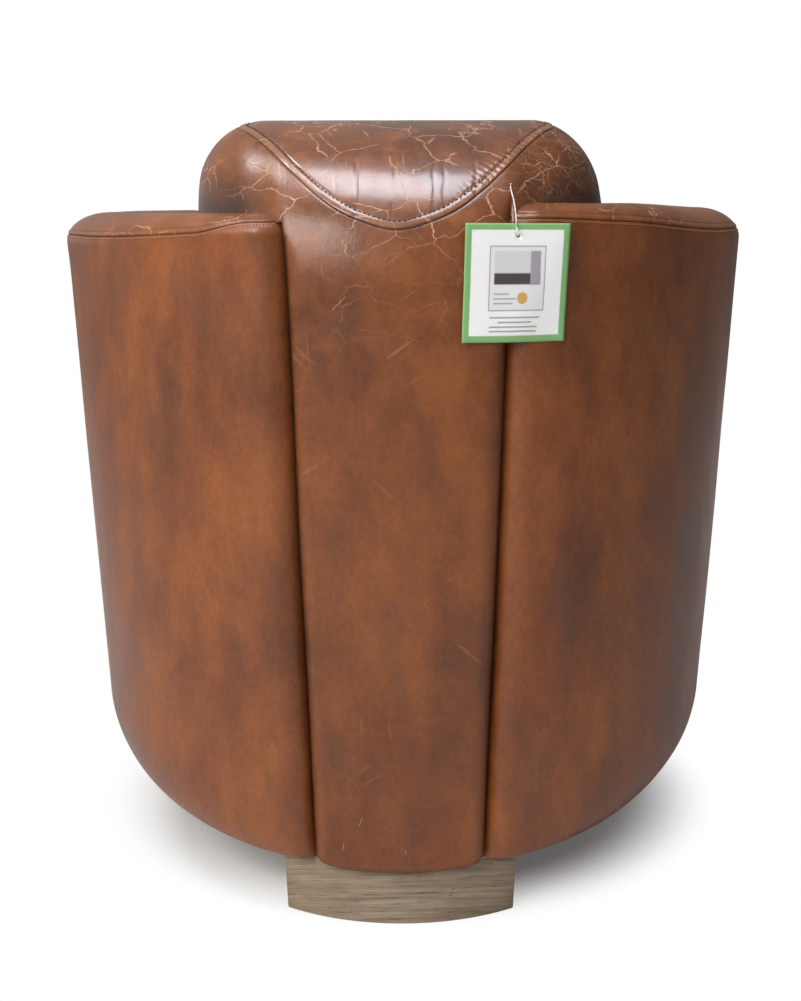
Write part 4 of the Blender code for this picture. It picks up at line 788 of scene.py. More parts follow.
def tee_point(s, t):
    """The middle hide: below PANEL_PART it is the flat back, above it climbs from the arms to the U seam."""
    sign, part, share = tee_x(s)
    if t < PANEL_PART:
        z = lerp(BOTTOM_Z, CREVICE_TOP_Z, t / PANEL_PART)
        if part != "panel":
            return back_point(sign * (crevice_half(z) - CREVICE_GAP), z) - Vector((0, 0.03, 0))
        reach = crevice_half(z) - CREVICE_GAP
        x = sign * share * reach
        point = back_point(x, z)
        point.y -= rounding(reach - abs(x), PANEL_EDGE) * edge_turned(x, z)
        hang = 1 - smooth((z - BOTTOM_Z) / 0.02)
        point.z -= (PANEL_HANG * (1 - share * share) - 0.005 * share**6) * hang
        return point
    climb = (t - PANEL_PART) / (1 - PANEL_PART)
    if part == "panel":
        x = sign * share * (CREVICE_HIGH - CREVICE_GAP)
        start = CREVICE_TOP_Z
    else:
        x = sign * lerp(CREVICE_HIGH, HOOD_HALF, share if part == "lobe" else 1)
        start = arm_top_under(x) - TUCK * smooth(share * 6) if part == "lobe" else arm_top_under(x) - TUCK
    rise = hood_section(x)[2]
    low = start - HOOD_SPRING_Z
    if low > 0:
        low = rise * math.asin(min(low / rise, 1.0))
    high = rise * bib_angle(x)
    height = lerp(min(low, high - 0.002), high, climb)
    angle = height / rise
    if part == "cap":
        return cap_at(sign, max(angle, 0.0), share)
    point = hood_point(x, angle) if height > 0 else back_point(x, HOOD_SPRING_Z + height)
    if part == "panel":
        turned = 1 - smooth(climb * 1.6) if x < 0 else edge_turned(x, point.z)
        point.y -= rounding(CREVICE_HIGH - CREVICE_GAP - abs(x), PANEL_EDGE) * turned
    return point


bib_run = bib_line()
bib_near = seam_tree(bib_run)
bib_paced = [0.0]
for a, b in zip(bib_run, bib_run[1:]):
    bib_paced.append(bib_paced[-1] + (b - a).length)


def tee_relief(co, s, t):
    d = bib_near.find(co)[2]
    soft = dents(co, 21.0) * smooth(d / 0.04) * smooth((co.z - BOTTOM_Z) / 0.03)
    return soft * 0.8 - 0.35 * MM * (1 - smooth(d / (3.0 * MM)))


def tee_shade(co, s, t):
    d = bib_near.find(co)[2]
    sign, part, share = tee_x(s)
    # Painted shade: darker in the U seam's groove, at the panel's edges by the crevices, and at the foot of the lobes
    # under the arm tops.
    crease_shade = -0.95 * (1 - smooth(d / (1.5 * MM)))
    fold = 0.0
    if part == "panel" and t < PANEL_PART + 0.05:
        fold = -0.8 * smooth((share - 0.955) / 0.045)
    if part != "panel" and t > PANEL_PART:
        climb = (t - PANEL_PART) / (1 - PANEL_PART)
        fold = min(fold, -0.7 * (1 - smooth(climb / 0.10)), -0.80 * smooth(share * 2) * (1 - smooth(climb / 0.85)))
    low = min(crease_shade, fold)
    # Painted shade: the right lobe, turned away from the key light, is darkened, less toward its top.
    if sign < 0 and part != "panel" and co.z > 0.74:
        low = min(low, -0.42 * smooth((-co.x - 0.10) / 0.04) * (1 - 0.5 * smooth((co.z - 0.79) / 0.04)))
    return low if low < -0.02 else 0.0


def tee_age(co, s, t):
    """The back is little worn; the lobes beside the headrest are burnished, and the right one is crazed all over."""
    high = smooth((co.z - 0.715) / 0.05)
    craze = smooth((-co.x - 0.105) / 0.03) * smooth((0.225 + co.x) / 0.03) * smooth((co.z - 0.755) / 0.03)
    return lerp(0.28 + 0.25 * smooth((co.z - 0.55) / 0.12), 1.0, high) + craze


def tee_drop(s, t):
    return t < PANEL_PART and tee_x(s)[1] != "panel"


middle = (0, 0.1, 0.45)
panel = cut_hide(
    "back_panel_hide", 220, 230, tee_point, polished_look, middle, tee_relief, tee_drop, tee_shade, tee_age
)
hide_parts("back_panel_leather")
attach(panel, "chair")

# Scuffs on the back: short pale scrapes where the grain is lifted, and finer hair lines, each as its (x, z) ends.
# They are laid on like stitches, one short swelling after another, so that they catch the light.
SCRAPES = (
    ((0.040, 0.128), (0.043, 0.120)),
    ((0.060, 0.098), (0.061, 0.091)),
    ((-0.006, 0.092), (-0.007, 0.086)),
    ((0.052, 0.686), (0.065, 0.673)),
)
HAIR_LINES = (
    ((0.067, 0.388), (0.067, 0.366)),
    ((0.0935, 0.720), (0.064, 0.703)),
    ((0.0365, 0.655), (-0.010, 0.647)),
    ((-0.010, 0.647), (-0.0425, 0.636)),
    ((0.004, 0.726), (0.005, 0.712)),
)
lifted_grain = bonded_thread("lifted grain", "#a87a58", "#d0a581")
for name, ends, sink in (("scrapes", SCRAPES, 0.95 * MM), ("hair_lines", HAIR_LINES, 1.05 * MM)):
    scuffed = [[Vector((x, panel_back(x, z), z)) for x, z in pair] for pair in ends]
    stitch("back_panel_" + name, scuffed, panel, lifted_grain, 1.7 * MM, 3.4 * MM, sink)

# Headrest ends: the two parts of the middle hide past the U seam's corners. They go over the top and down the
# headrest's front, where they are tucked behind the inside back.
END_ROUND, END_DOWN = 0.7, 0.85


def ends_point(s, t):
    side = 1 if s >= 0.5 else -1
    c = abs(s - 0.5) * 2
    angle = lerp(BIB_END, math.pi, min(t / END_DOWN, 1.0))
    if c <= END_ROUND:
        x = side * lerp(BIB_HALF, HOOD_HALF, math.sin(c / END_ROUND * math.pi / 2))
        point = hood_point(x, angle)
    else:
        point = cap_at(side, angle, (c - END_ROUND) / (1 - END_ROUND))
    if t > END_DOWN:
        point.z = lerp(point.z, HOOD_FRONT_Z, min((t - END_DOWN) / 0.10, 1.0))
        point.y += 0.062 * max((t - 0.95) / 0.05, 0.0)
    return point


def hood_slack(co, seed):
    """The headrest's hide has stretched: short soft wrinkles across it, besides the dents."""
    fine = hills((co.x * 1.6, co.y * 0.7, co.z * 0.7), 0.030, seed) * 0.12 * MM
    return dents(co, seed) * 0.35 + fine


def ends_relief(co, s, t):
    d = bib_near.find(co)[2]
    return hood_slack(co, 27.0) * smooth(d / 0.03) - 0.35 * MM * (1 - smooth(d / (3.0 * MM)))


def ends_seam_shade(co, s, t):
    # Painted shade: darker in the U seam's groove.
    return -0.9 * (1 - smooth(bib_near.find(co)[2] / (1.5 * MM)))


for side, tag in ((1, "left"), (-1, "right")):
    middle = (side * 0.12, HOOD_CENTRE_Y, 0.75)

    def place(s, t, side=side):
        return ends_point(0.5 + side * s / 2 * 0.999, t)

    piece = cut_hide(
        "headrest_end_hide_" + tag, 60, 110, place, polished_look, middle, ends_relief, None, ends_seam_shade, 1.0
    )
    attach(piece, "chair")

# Headrest top: the hide inside the U seam, burnished by heads, pleated along its right side and cracked across
# its shine. Its folded edge is topstitched down, and its front end is tucked behind the inside back.
BIB_OVER, BIB_DOWN = 0.5, 0.84


def bib_point(s, t):
    x = lerp(-BIB_HALF, BIB_HALF, s)
    if t <= BIB_OVER:
        return hood_point(x, lerp(bib_angle(x), OVER_START, t / BIB_OVER))
    if t <= BIB_DOWN:
        return hood_point(x, lerp(OVER_START, math.pi, (t - BIB_OVER) / (BIB_DOWN - BIB_OVER)))
    point = hood_point(x, math.pi)
    point.z = lerp(HOOD_SPRING_Z, HOOD_FRONT_Z, min((t - BIB_DOWN) / 0.10, 1.0))
    point.y += 0.064 * max((t - BIB_DOWN - 0.10) / 0.06, 0.0)
    return point


def gather(co, index, d):
    """Small pleats across the seam, where the hide was eased into its curve, most of them on the right."""
    tight = smooth((-co.x - 0.035) / 0.05) * smooth((0.20 + co.x) / 0.03)
    reach = lerp(0.007, 0.024, tight) * (1 + 0.5 * hills(co, 0.014, 7))
    wave = math.sin(bib_paced[index] * math.tau / (7.4 * MM) + 2.4 * hills(co, 0.022, 5))
    return wave * lerp(0.05, 0.30, tight) * (1 - smooth((d - 0.6 * WELT) / reach))


# Cracks across the headrest's shine, by their place across and how deep they are.
CRACKS = ((0.041, 1.0), (0.003, 0.9), (-0.036, 0.8), (-0.047, 0.6), (0.062, 0.4), (-0.078, 0.5))


def cracked(co):
    """How far into a crack the point lies, 0 to 1."""
    span = smooth((co.z - 0.760) / 0.008) * (1 - smooth((co.z - 0.812) / 0.016))
    deep = 0.0
    for x, most in CRACKS:
        wander = hills((x * 9, 0, co.z), 0.016, 3) * 3.0 * MM
        deep = max(deep, most * bump(co.x - x - wander, 1.9 * MM))
    return deep * span


def bib_relief(co, s, t):
    _, index, d = bib_near.find(co)
    pucker = gather(co, index, d) * MM * smooth(d / 0.003)
    return welt_height(d) + pucker + hood_slack(co, 33.0) * smooth((d - WELT) / 0.03) - 0.45 * MM * cracked(co)


def bib_wear_and_shade(co, s, t):
    _, index, d = bib_near.find(co)
    # Rubbed paler on the welt's ridge and the pleats' crests; painted shade darkens the seam's groove, the topstitch
    # groove and the cracks.
    crease_shade = 1 - smooth(d / (1.2 * MM))
    ridge = bump(d - 4.4 * MM, 3.2 * MM)
    stitch_groove_shade = bump(d - WELT, 1.1 * MM)
    raised = 0.40 * ridge + max(gather(co, index, d) * 1.2, 0)
    return raised - 0.9 * crease_shade - 0.65 * stitch_groove_shade - 0.35 * cracked(co)


middle = (0, HOOD_CENTRE_Y, 0.7)
headrest = cut_hide("headrest_hide", 262, 176, bib_point, burnished_look, middle, bib_relief, None, bib_wear_and_shade, 1.0)
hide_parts("headrest_top_leather", "headrest_foam")
stitch("headrest_topstitch", [bib_line(WELT)], headrest, brown_thread, sink=0.05 * MM)
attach(headrest, "chair")

# Plinth: reclaimed oak, sawn to a bow and left unoiled, so that it has greyed. Its saw marks and splits are
# still there, and its edges are broken by a small bevel.
PLINTH_HALF, PLINTH_TOP_Z, PLINTH_LOW_Z = 0.128, 0.0727, 0.0008
PLINTH_BOW, PLINTH_TAPER, PLINTH_BLOCK = 0.235, 0.003, 0.060


def sawn_wood(name, dark, pale, dirt, ring, rise=0.0, rough=0.72):
    """Wood whose growth rings lie ring mm apart, their planes rising towards the face by an angle."""
    look, put, shader, where = new_look(name)

    def streaks(size, detail, shift=0.0, low=0.0, high=1.0, most=1.0):
        inputs = {"Detail": detail, "Roughness": 0.6}
        made = pattern(put, "TexNoise", where, size, (rise, 0, 0.06), shift, inputs)
        return made, put("MapRange", made, low, high, 0.0, most, **SOFTLY)

    rings, _ = streaks((110, 110, ring), 4)
    pores, open_pores = streaks((26, 26, 1.6), 2, 0.4, 0.44, 0.30, 0.6)
    _, stains = streaks((50, 50, 34), 2, 0.9, 0.52, 0.70, 0.5)
    _, nicks = streaks((9, 9, 3.2), 1, 1.7, 0.27, 0.21, 0.9)
    colour = put("ValToRGB", rings, stops=((0.34, dark), (0.62, pale)))
    for amount, code in ((open_pores, dirt), (stains, dark), (nicks, dirt)):
        colour = put("Mix", {0: amount, 6: colour, 7: linear(code)}, **COLOURS)
    saw = put("Bump", {"Height": rings, "Strength": 0.5, "Distance": 0.6 * MM})
    split = put("Bump", {"Height": pores, "Strength": 0.5, "Distance": 0.5 * MM, "Normal": saw})
    connect(look, Base_Color=colour, Normal=split)
    shader["Roughness"].default_value = rough
    return look


oak = sawn_wood("weathered oak, rift sawn", "#8a7862", "#ad9b84", "#54463a", 4.5, math.radians(24))


BEVEL = {"segments": 3, "profile": 0.5, "affect": "EDGES", "material": -1, "clamp_overlap": True}


def build_block(name, node, end, sign):
    """A block of the plinth, bowed on its outer side, which lies at end; sign says which way that is."""
    bm = bmesh.new()
    xs = [lerp(-PLINTH_HALF, PLINTH_HALF, k / 48) for k in range(49)]
    outline = [(x, end - sign * (PLINTH_BOW - math.sqrt(PLINTH_BOW**2 - x * x))) for x in xs]
    inner = end - sign * PLINTH_BLOCK
    outline += [(PLINTH_HALF, inner), (-PLINTH_HALF, inner)]
    base = bm.faces.new([bm.verts.new((x, y, PLINTH_TOP_Z)) for x, y in outline])
    grown = bmesh.ops.extrude_face_region(bm, geom=[base])
    low = [v for v in grown["geom"] if isinstance(v, bmesh.types.BMVert)]
    shrink = (PLINTH_HALF - PLINTH_TAPER) / PLINTH_HALF
    for v in low:
        v.co.z = PLINTH_LOW_Z
        v.co.x *= shrink
    bmesh.ops.recalc_face_normals(bm, faces=bm.faces)
    sharp = [e for e in bm.edges if e.calc_face_angle(0) > math.radians(30)]
    bmesh.ops.bevel(bm, geom=sharp, offset=1.3 * MM, **BEVEL)
    piece = object_from(name, bm, oak)
    piece.data.set_sharp_from_angle(angle=math.radians(50))
    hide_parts(node)
    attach(piece, "chair")


build_block("oak_block_rear", "plinth_rear_block", 0.383, 1)
build_block("oak_block_front", "plinth_front_block", -0.335, -1)


def finish_nodes(look, *names):
    for name in names:
        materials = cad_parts[name].data.materials
        materials.clear()
        materials.append(look)


finish_nodes(oak, "plinth_side_left", "plinth_side_right", "plinth_cross_brace")

# Hang tag: a square of printed card on a loop of cotton string, caught in the seam of the headrest.
# Its print is plain: a green edge, a thin frame with flat blocks in it, and blank ruled lines.
TAG_WIDE, TAG_HIGH, TAG_TURN, TAG_LEAN = 0.109, 0.118, math.radians(15.5), math.radians(1.5)
TAG_TOP = Vector((-0.1195, 0.3968, 0.7578))
TAG_HOLE_DOWN, TAG_HOLE_RADIUS = 0.0135, 0.0020


def turn_faces(bm, axis):
    """Turns a sheet's faces so that most of them look up its axis."""
    bm.normal_update()
    if sum(f.normal[axis] for f in bm.faces) < 0:
        bmesh.ops.reverse_faces(bm, faces=bm.faces)


tag_across = Vector((math.cos(TAG_TURN), math.sin(TAG_TURN), 0))
tag_out = Vector((-math.sin(TAG_TURN), math.cos(TAG_TURN), 0))
TAG_TOP.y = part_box("hang_tag")[0].y + TAG_WIDE / 2 * math.sin(TAG_TURN)
bm = bmesh.new()
bmesh.ops.create_grid(bm, x_segments=44, y_segments=48, size=0.5)
flat = bm.loops.layers.uv.new("card")
for face in bm.faces:
    for loop in face.loops:
        loop[flat].uv = (0.5 - loop.vert.co.x, loop.vert.co.y + 0.5)
for v in bm.verts:
    across, down = v.co.x * TAG_WIDE, (0.5 - v.co.y) * TAG_HIGH
    low = down / TAG_HIGH
    curl = -0.0062 * smooth((0.15 - v.co.x - (1 - low) * 0.55) / 0.65)
    curl -= 0.0012 * smooth((v.co.x + low - 0.95) / 0.5)
    swayed = Vector((across, down - TAG_HOLE_DOWN))
    swayed.rotate(Matrix.Rotation(-TAG_LEAN, 2))
    down = swayed.y + TAG_HOLE_DOWN
    v.co = TAG_TOP + tag_across * swayed.x - Vector((0, 0, down)) + tag_out * (0.0006 + curl)
hole = TAG_TOP - Vector((0, 0, TAG_HOLE_DOWN))
punched = min(bm.verts, key=lambda v: (v.co - hole).length)
rim = {v for face in punched.link_faces for v in face.verts} - {punched}
hole = punched.co.copy()
for v in rim:
    v.co = hole + (v.co - hole).normalized() * TAG_HOLE_RADIUS
bmesh.ops.delete(bm, geom=[punched], context="VERTS")
turn_faces(bm, 1)

glowing_card_look, put, shader, _ = new_look("printed card")
uv = put("UVMap", uv_map="card")
card_place = put("SeparateXYZ", uv).node.outputs


def printed(under, code, x0, x1, y0, y1, edge=0.006):
    """A block of ink between marks of the card, as shares of its width and height, its edges a little soft."""
    mask = 1.0
    for value, low, high in ((card_place[0], x0, x1), (card_place[1], y0, y1)):
        for start, end in ((low - edge, low + edge), (high + edge, high - edge)):
            mask = put("Math MULTIPLY", mask, put("MapRange", value, start, end))
    return put("Mix", {0: mask, 6: under, 7: linear(code)}, **COLOURS)


ink_grain = put("TexNoise", {"Vector": uv, "Scale": 90.0, "Detail": 3.0})
field = put("Mix", {0: ink_grain, 6: linear("#7db26d"), 7: linear("#8fc281")}, **COLOURS)
RULED_GREY, BLANK_GREY = "#9b9aa2", "#8d8c95"
for print_row in (
    ("#ffffff", 0.062, 0.938, 0.058, 0.945),
    ("#a9a9b2", 0.235, 0.775, 0.265, 0.815, 0.004),
    ("#eeeef1", 0.246, 0.764, 0.276, 0.804, 0.004),
    ("#dcdde0", 0.285, 0.725, 0.49, 0.77),
    ("#4a4549", 0.285, 0.725, 0.49, 0.585),
    ("#a7a1a9", 0.63, 0.725, 0.49, 0.77),
):
    field = printed(field, *print_row)
for low, x0, x1 in ((0.405, 0.285, 0.43), (0.365, 0.285, 0.50), (0.325, 0.285, 0.47)):
    field = printed(field, RULED_GREY, x0, x1, low, low + 0.010, 0.005)
for low, x0, x1 in ((0.205, 0.25, 0.74), (0.165, 0.33, 0.66), (0.125, 0.25, 0.72), (0.088, 0.25, 0.71)):
    field = printed(field, BLANK_GREY, x0, x1, low, low + 0.012)
dot = put("MapRange", put("VectorMath DISTANCE", uv, (0.56, 0.375, 0), out="Value"), 0.054, 0.046)
field = put("Mix", {0: dot, 6: field, 7: linear("#d9ab62")}, **COLOURS)
fibre = put("TexNoise", {"Vector": uv, "Scale": 240.0, "Detail": 2.0})
press = put("Bump", {"Height": fibre, "Strength": 0.15, "Distance": 0.05 * MM})
# Painted light: the card also glows faintly in its own print colours, which lifts it whiter than its lamps make it.
connect(glowing_card_look, Base_Color=field, Emission_Color=field, Normal=press)
shader["Emission Strength"].default_value = 0.11
shader["Roughness"].default_value = 0.5
card = object_from("hang_tag_card", bm, glowing_card_look, 0.5 * MM)
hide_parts("hang_tag")
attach(card, "tag")

# Tag string: thin laid cotton, caught in the headrest's seam. It hangs down over the card's top edge to the hole
# and ends in a knot behind the card.
STRING_WIDE = 1.4 * MM
string_start = Vector((-0.1135, 0.0, 0.7945))
string_start.y = back_point(string_start.x, string_start.z).y + 0.2 * MM
top_edge = TAG_TOP + Vector((0.003, 0, 0)) + tag_out * 2.9 * MM
eyelet = hole + Vector((0, 0, 0.0010))
string_route = [
    string_start,
    string_start + Vector((0.0004, 0.0022, -0.004)),
    string_start.lerp(top_edge, 0.5) + tag_out * 2.6 * MM,
    top_edge + Vector((0, 0, 0.004)),
    top_edge - Vector((0, 0, 0.003)),
    eyelet + tag_out * 3.4 * MM + Vector((0.0012, 0, 0.0042)),
    eyelet + tag_out * 1.9 * MM + Vector((0.0002, 0, 0.0008)),
    eyelet + tag_out * 0.3 * MM,
]


def through(route, steps):
    """A smooth curve through the points of a route."""
    ends = [route[0] * 2 - route[1]] + list(route) + [route[-1] * 2 - route[-2]]
    points = []
    for a, b, c, d in zip(ends, ends[1:], ends[2:], ends[3:]):
        for k in range(steps):
            t = k / steps
            bend = (a * 2 - b * 5 + c * 4 - d) * t**2 + (b * 3 - a - c * 3 + d) * t**3
            points.append((b * 2 + (c - a) * t + bend) / 2)
    return points + [route[-1]]


def drawn_line(name, points, radius, look, closed=False, sides=3):
    """A round line through points, as a curve."""
    line = bpy.data.curves.new(name, "CURVE")
    line.dimensions = "3D"
    line.bevel_depth, line.bevel_resolution = radius, sides
    line.use_fill_caps = not closed
    run = line.splines.new("POLY")
    run.points.add(len(points) - 1)
    for spot, co in zip(run.points, points):
        spot.co = (*co, 1)
    run.use_cyclic_u = closed
    line.materials.append(look)
    return shown_object(name, line)


string_look, put, shader, where = new_look("cotton string")
yarn = pattern(put, "TexNoise", where, (3, 3, 0.9), (0, 0.6, 0), inputs={"Detail": 2.0})
tint = put("ValToRGB", yarn, stops=((0.35, "#c9c8c4"), (0.65, "#f4f4f2")))
twist = put("Bump", {"Height": yarn, "Strength": 0.5, "Distance": 0.25 * MM})
connect(string_look, Base_Color=tint, Normal=twist)
shader["Roughness"].default_value = 0.85

string_points = through(string_route, 6)
string = drawn_line("tag_string_cotton", string_points, STRING_WIDE / 2, string_look)
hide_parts("tag_string")
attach(string, "tag")
bm = bmesh.new()
behind = Matrix.Translation(eyelet - tag_out * 1.3 * MM)
bmesh.ops.create_icosphere(bm, subdivisions=3, radius=1.5 * MM, matrix=behind)
for v in bm.verts:
    v.co += v.normal * hills(v.co, 1.2 * MM, 3) * 0.35 * MM
knot = object_from("tag_string_knot", bm, string_look)
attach(knot, "tag")
string_length = sum((b - a).length for a, b in zip(string_points, string_points[1:]))

# Seat cushion: a loose foam cushion in a hide cover of a top, a base and a boxing band, piped along both edges.
# The cover is blown up a little by simulation between its piped seams, which hold it as the sewing does.
CUSHION_HALF, CUSHION_FRONT_Y, CUSHION_BACK_Y = 0.2713, -0.388, 0.150
CUSHION_LOW_Z, CUSHION_SIDE, CUSHION_CROWN, CUSHION_DRAW = 0.3203, 0.135, 0.022, 0.010
CUSHION_POWER, PIPING_IN, PIPING_RADIUS = 4.0, 0.014, 3.0 * MM
ZIP_HALF = 0.115
cushion_middle = (CUSHION_FRONT_Y + CUSHION_BACK_Y) / 2
cushion_long = (CUSHION_BACK_Y - CUSHION_FRONT_Y) / 2
cushion_high_z = CUSHION_LOW_Z + CUSHION_SIDE
cushion_mid_z = CUSHION_LOW_Z + CUSHION_SIDE / 2


def cushion_edge(turn, draw):
    """Plan of the cushion at an angle, drawn in by a distance, straight along the rear."""
    s, c = math.sin(turn), math.cos(turn)
    size = (abs(s) ** CUSHION_POWER + abs(c) ** CUSHION_POWER) ** (1 / CUSHION_POWER)
    wide, long = CUSHION_HALF - draw, cushion_long - draw
    reach = long + 0.010 if s > 0 else long
    return Vector((wide * c / size, min(cushion_middle + reach * s / size, cushion_middle + long), 0))


def piping_line(z, draw, steps=240):
    return [cushion_edge(math.tau * k / steps, draw) + Vector((0, 0, z)) for k in range(steps)]


def cover_shape(co):
    """Where a point of a cube of side 2 lies on the sewn cover."""
    ring = max(abs(co.x), abs(co.y))
    turn = math.atan2(co.y, co.x)
    if ring > 0.999 and abs(co.z) < 0.999:
        away = abs(co.z)
        rear = smooth((cushion_edge(turn, 0).y - 0.09) / 0.05)
        draw = lerp(lerp(3.0 * MM, CUSHION_DRAW * 0.85, rear), 1.2 * MM, smooth(away))
        z = lerp(cushion_mid_z, cushion_high_z - PIPING_IN, away)
        z = z if co.z > 0 else 2 * cushion_mid_z - z
        return cushion_edge(turn, draw) + Vector((0, 0, z))
    edge = cushion_edge(turn, 1.2 * MM)
    middle = Vector((0, cushion_middle, 0))
    flat = middle.lerp(edge, ring)
    rise = 1 - ring**4
    if co.z > 0:
        return flat + Vector((0, 0, lerp(cushion_high_z - PIPING_IN, cushion_high_z + CUSHION_CROWN * 0.55, rise)))
    return flat + Vector((0, 0, lerp(CUSHION_LOW_Z + PIPING_IN, CUSHION_LOW_Z + 1.5 * MM, 1 - ring**10)))


def swell(obj, pinned, pressure, cap, frames=20):
    """Blows a closed cloth up by simulation, held where pinned(point) is 1, and moves no point past cap(point)."""
    held = obj.vertex_groups.new(name="sewn")
    for v in obj.data.vertices:
        held.add([v.index], pinned(v.co), "REPLACE")
    start = [v.co.copy() for v in obj.data.vertices]
    cloth = obj.modifiers.new("swell", "CLOTH")
    hide = {"vertex_group_mass": "sewn", "mass": 0.4, "quality": 4, "tension_stiffness": 28, "shear_stiffness": 10}
    hide.update(compression_stiffness=20, bending_stiffness=2.5, use_pressure=True, uniform_pressure_force=pressure)
    for key, value in hide.items():
        setattr(cloth.settings, key, value)
    cloth.settings.effector_weights.gravity = 0
    scene = bpy.context.scene
    for frame_number in range(1, frames + 1):
        scene.frame_set(frame_number)
    blown = obj.evaluated_get(bpy.context.evaluated_depsgraph_get())
    ends = [v.co.copy() for v in blown.to_mesh().vertices]
    blown.to_mesh_clear()
    obj.modifiers.remove(cloth)
    for v, a, b in zip(obj.data.vertices, start, ends):
        move, most = b - a, cap(a)
        v.co = a + (move if move.length <= most else move.normalized() * most)
    scene.frame_set(1)


bm = bmesh.new()
bmesh.ops.create_cube(bm, size=2)
bmesh.ops.subdivide_edges(bm, edges=bm.edges, cuts=39, use_grid_fill=True)
for v in bm.verts:
    v.co = cover_shape(v.co)
bmesh.ops.recalc_face_normals(bm, faces=bm.faces)
cover = object_from("cushion_hide_cover", bm, hide_look)
remesh = cover.modifiers.new("even cells", "REMESH")
remesh.mode, remesh.voxel_size = "VOXEL", 6.5 * MM


def apply_modifiers(obj):
    obj.data = bpy.data.meshes.new_from_object(obj.evaluated_get(bpy.context.evaluated_depsgraph_get()))
    obj.modifiers.clear()


apply_modifiers(cover)
PIPING_LEVELS = {"top": cushion_high_z - PIPING_IN, "base": CUSHION_LOW_Z + PIPING_IN}
piped_seams = [seam_tree(piping_line(z, 1.2 * MM)) for z in PIPING_LEVELS.values()]


def seam_gap(co):
    return min(seam.find(co)[2] for seam in piped_seams)


def cushion_cap(co):
    if co.z < CUSHION_LOW_Z + 4 * MM or abs(co.z - cushion_mid_z) < 0.05:
        return 0.6 * MM
    return 9 * MM * smooth((seam_gap(co) - 4 * MM) / 0.05)


swell(cover, lambda co: 1.0 - smooth((seam_gap(co) - 5 * MM) / (6 * MM)), 4.0, cushion_cap)
for v in cover.data.vertices:
    top = smooth((v.co.z - cushion_high_z + PIPING_IN) / 0.01)
    v.co.z += hills(v.co, 0.13, 6) * 2.2 * MM * top * smooth(seam_gap(v.co) / 0.05)
    v.co.z += hills((v.co.x * 0.6, v.co.y, 0), 0.030, 9) * 0.5 * MM * top * smooth(seam_gap(v.co) / 0.03)
    v.co.z = max(v.co.z, CUSHION_LOW_Z)
fine = cover.modifiers.new("smooth hide", "SUBSURF")
fine.levels = fine.render_levels = 1
apply_modifiers(cover)
cover.vertex_groups.clear()
cover.data.materials.clear()
cover.data.materials.append(hide_look)
cover.data.shade_smooth()
spots = [v.co for v in cover.data.vertices]
# Painted shade: the cover is darkened within a few mm of the piped seams; its top is burnished.
for key, values in (
    ("wear", [-0.8 * (1 - smooth((seam_gap(co) - 2 * MM) / (4 * MM))) for co in spots]),
    ("aged", [0.75 * smooth((co.z - cushion_mid_z) / 0.05) for co in spots]),
):
    cover.data.attributes.new(key, "FLOAT", "POINT").data.foreach_set("value", values)
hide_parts("cushion_cover", "cushion_core")
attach(cover, "seat_cushion")


def cord_along(name, points, radius, look, body, closed=True, sides=3):
    """A round cord of hide or wire along a line, left as a mesh."""
    curved = drawn_line(name + "_line", points, radius, look, closed, sides)
    mesh = bpy.data.meshes.new_from_object(curved.evaluated_get(bpy.context.evaluated_depsgraph_get()))
    bpy.data.objects.remove(curved)
    mesh.materials.clear()
    mesh.materials.append(look)
    mesh.shade_smooth()
    for key, value in (("wear", 0.25), ("aged", 0.6)):
        mesh.attributes.new(key, "FLOAT", "POINT").data.foreach_set("value", [value] * len(mesh.vertices))
    piece = shown_object(name, mesh)
    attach(piece, body)
    return piece


for name, z in PIPING_LEVELS.items():
    piping = cord_along("cushion_piping_" + name, piping_line(z, 0.4 * MM), PIPING_RADIUS, hide_look, "seat_cushion")

# Zip: a black nylon coil on woven tape across the cushion's rear. Its nickel slider starts at the left end, with
# the pull hanging from it.
TAPE_HIGH, TOOTH_PITCH = 11 * MM, 2.4 * MM
zip_face_y = CUSHION_BACK_Y - CUSHION_DRAW * 0.85


def woven(name, dark, pale, pitch, rough=0.9):
    """Plain weave: two sets of threads a pitch apart, crossing at right angles."""
    look, put, shader, where = new_look(name)
    sets = []
    for turn in ((0, 0, 0), (0, math.pi / 2, 0), (0, 0, math.pi / 2)):
        laid = put("Mapping", {"Vector": where, "Rotation": turn})
        wave = {"Vector": laid, "Scale": 1 / (pitch * 20), "Distortion": 0.3, "Detail": 1.0}
        sets.append(put("TexWave", wave, out="Fac", bands_direction="X"))
    crossed = put("Math MAXIMUM", put("Math MULTIPLY", sets[0], sets[1]), sets[2])
    fluff = put("TexNoise", {"Vector": where, "Scale": 1 / (22 * MM), "Detail": 4.0})
    height = put("Math ADD", crossed, fluff)
    mixed = put("Mix", {0: put("MapRange", height, 0.3, 1.5), 6: linear(dark), 7: linear(pale)}, **COLOURS)
    raised = put("Bump", {"Height": height, "Strength": 0.6, "Distance": 0.3 * MM})
    connect(look, Base_Color=mixed, Normal=raised)
    shader["Roughness"].default_value = rough
    return look


def plated(name, colour, rough, metallic=1.0, grain=0.4):
    """Bare or plated metal, or moulded nylon, with a fine grain, duller where it is handled."""
    look, put, shader, where = new_look(name)
    fine, cloud = [put("TexNoise", {"Vector": where, "Scale": 1 / (s * MM), "Detail": 3.0}) for s in (grain, 9)]
    base = linear(colour)
    darker = tuple(c * 0.72 for c in base[:3]) + (1.0,)
    mixed = put("Mix", {0: cloud, 6: darker, 7: base}, **COLOURS)
    scratch = put("Bump", {"Height": fine, "Strength": 0.25, "Distance": 0.08 * MM})
    dull = put("MapRange", cloud, 0.35, 0.65, rough - 0.07, rough + 0.10)
    connect(look, Base_Color=mixed, Roughness=dull, Normal=scratch)
    shader["Metallic"].default_value = metallic
    return look


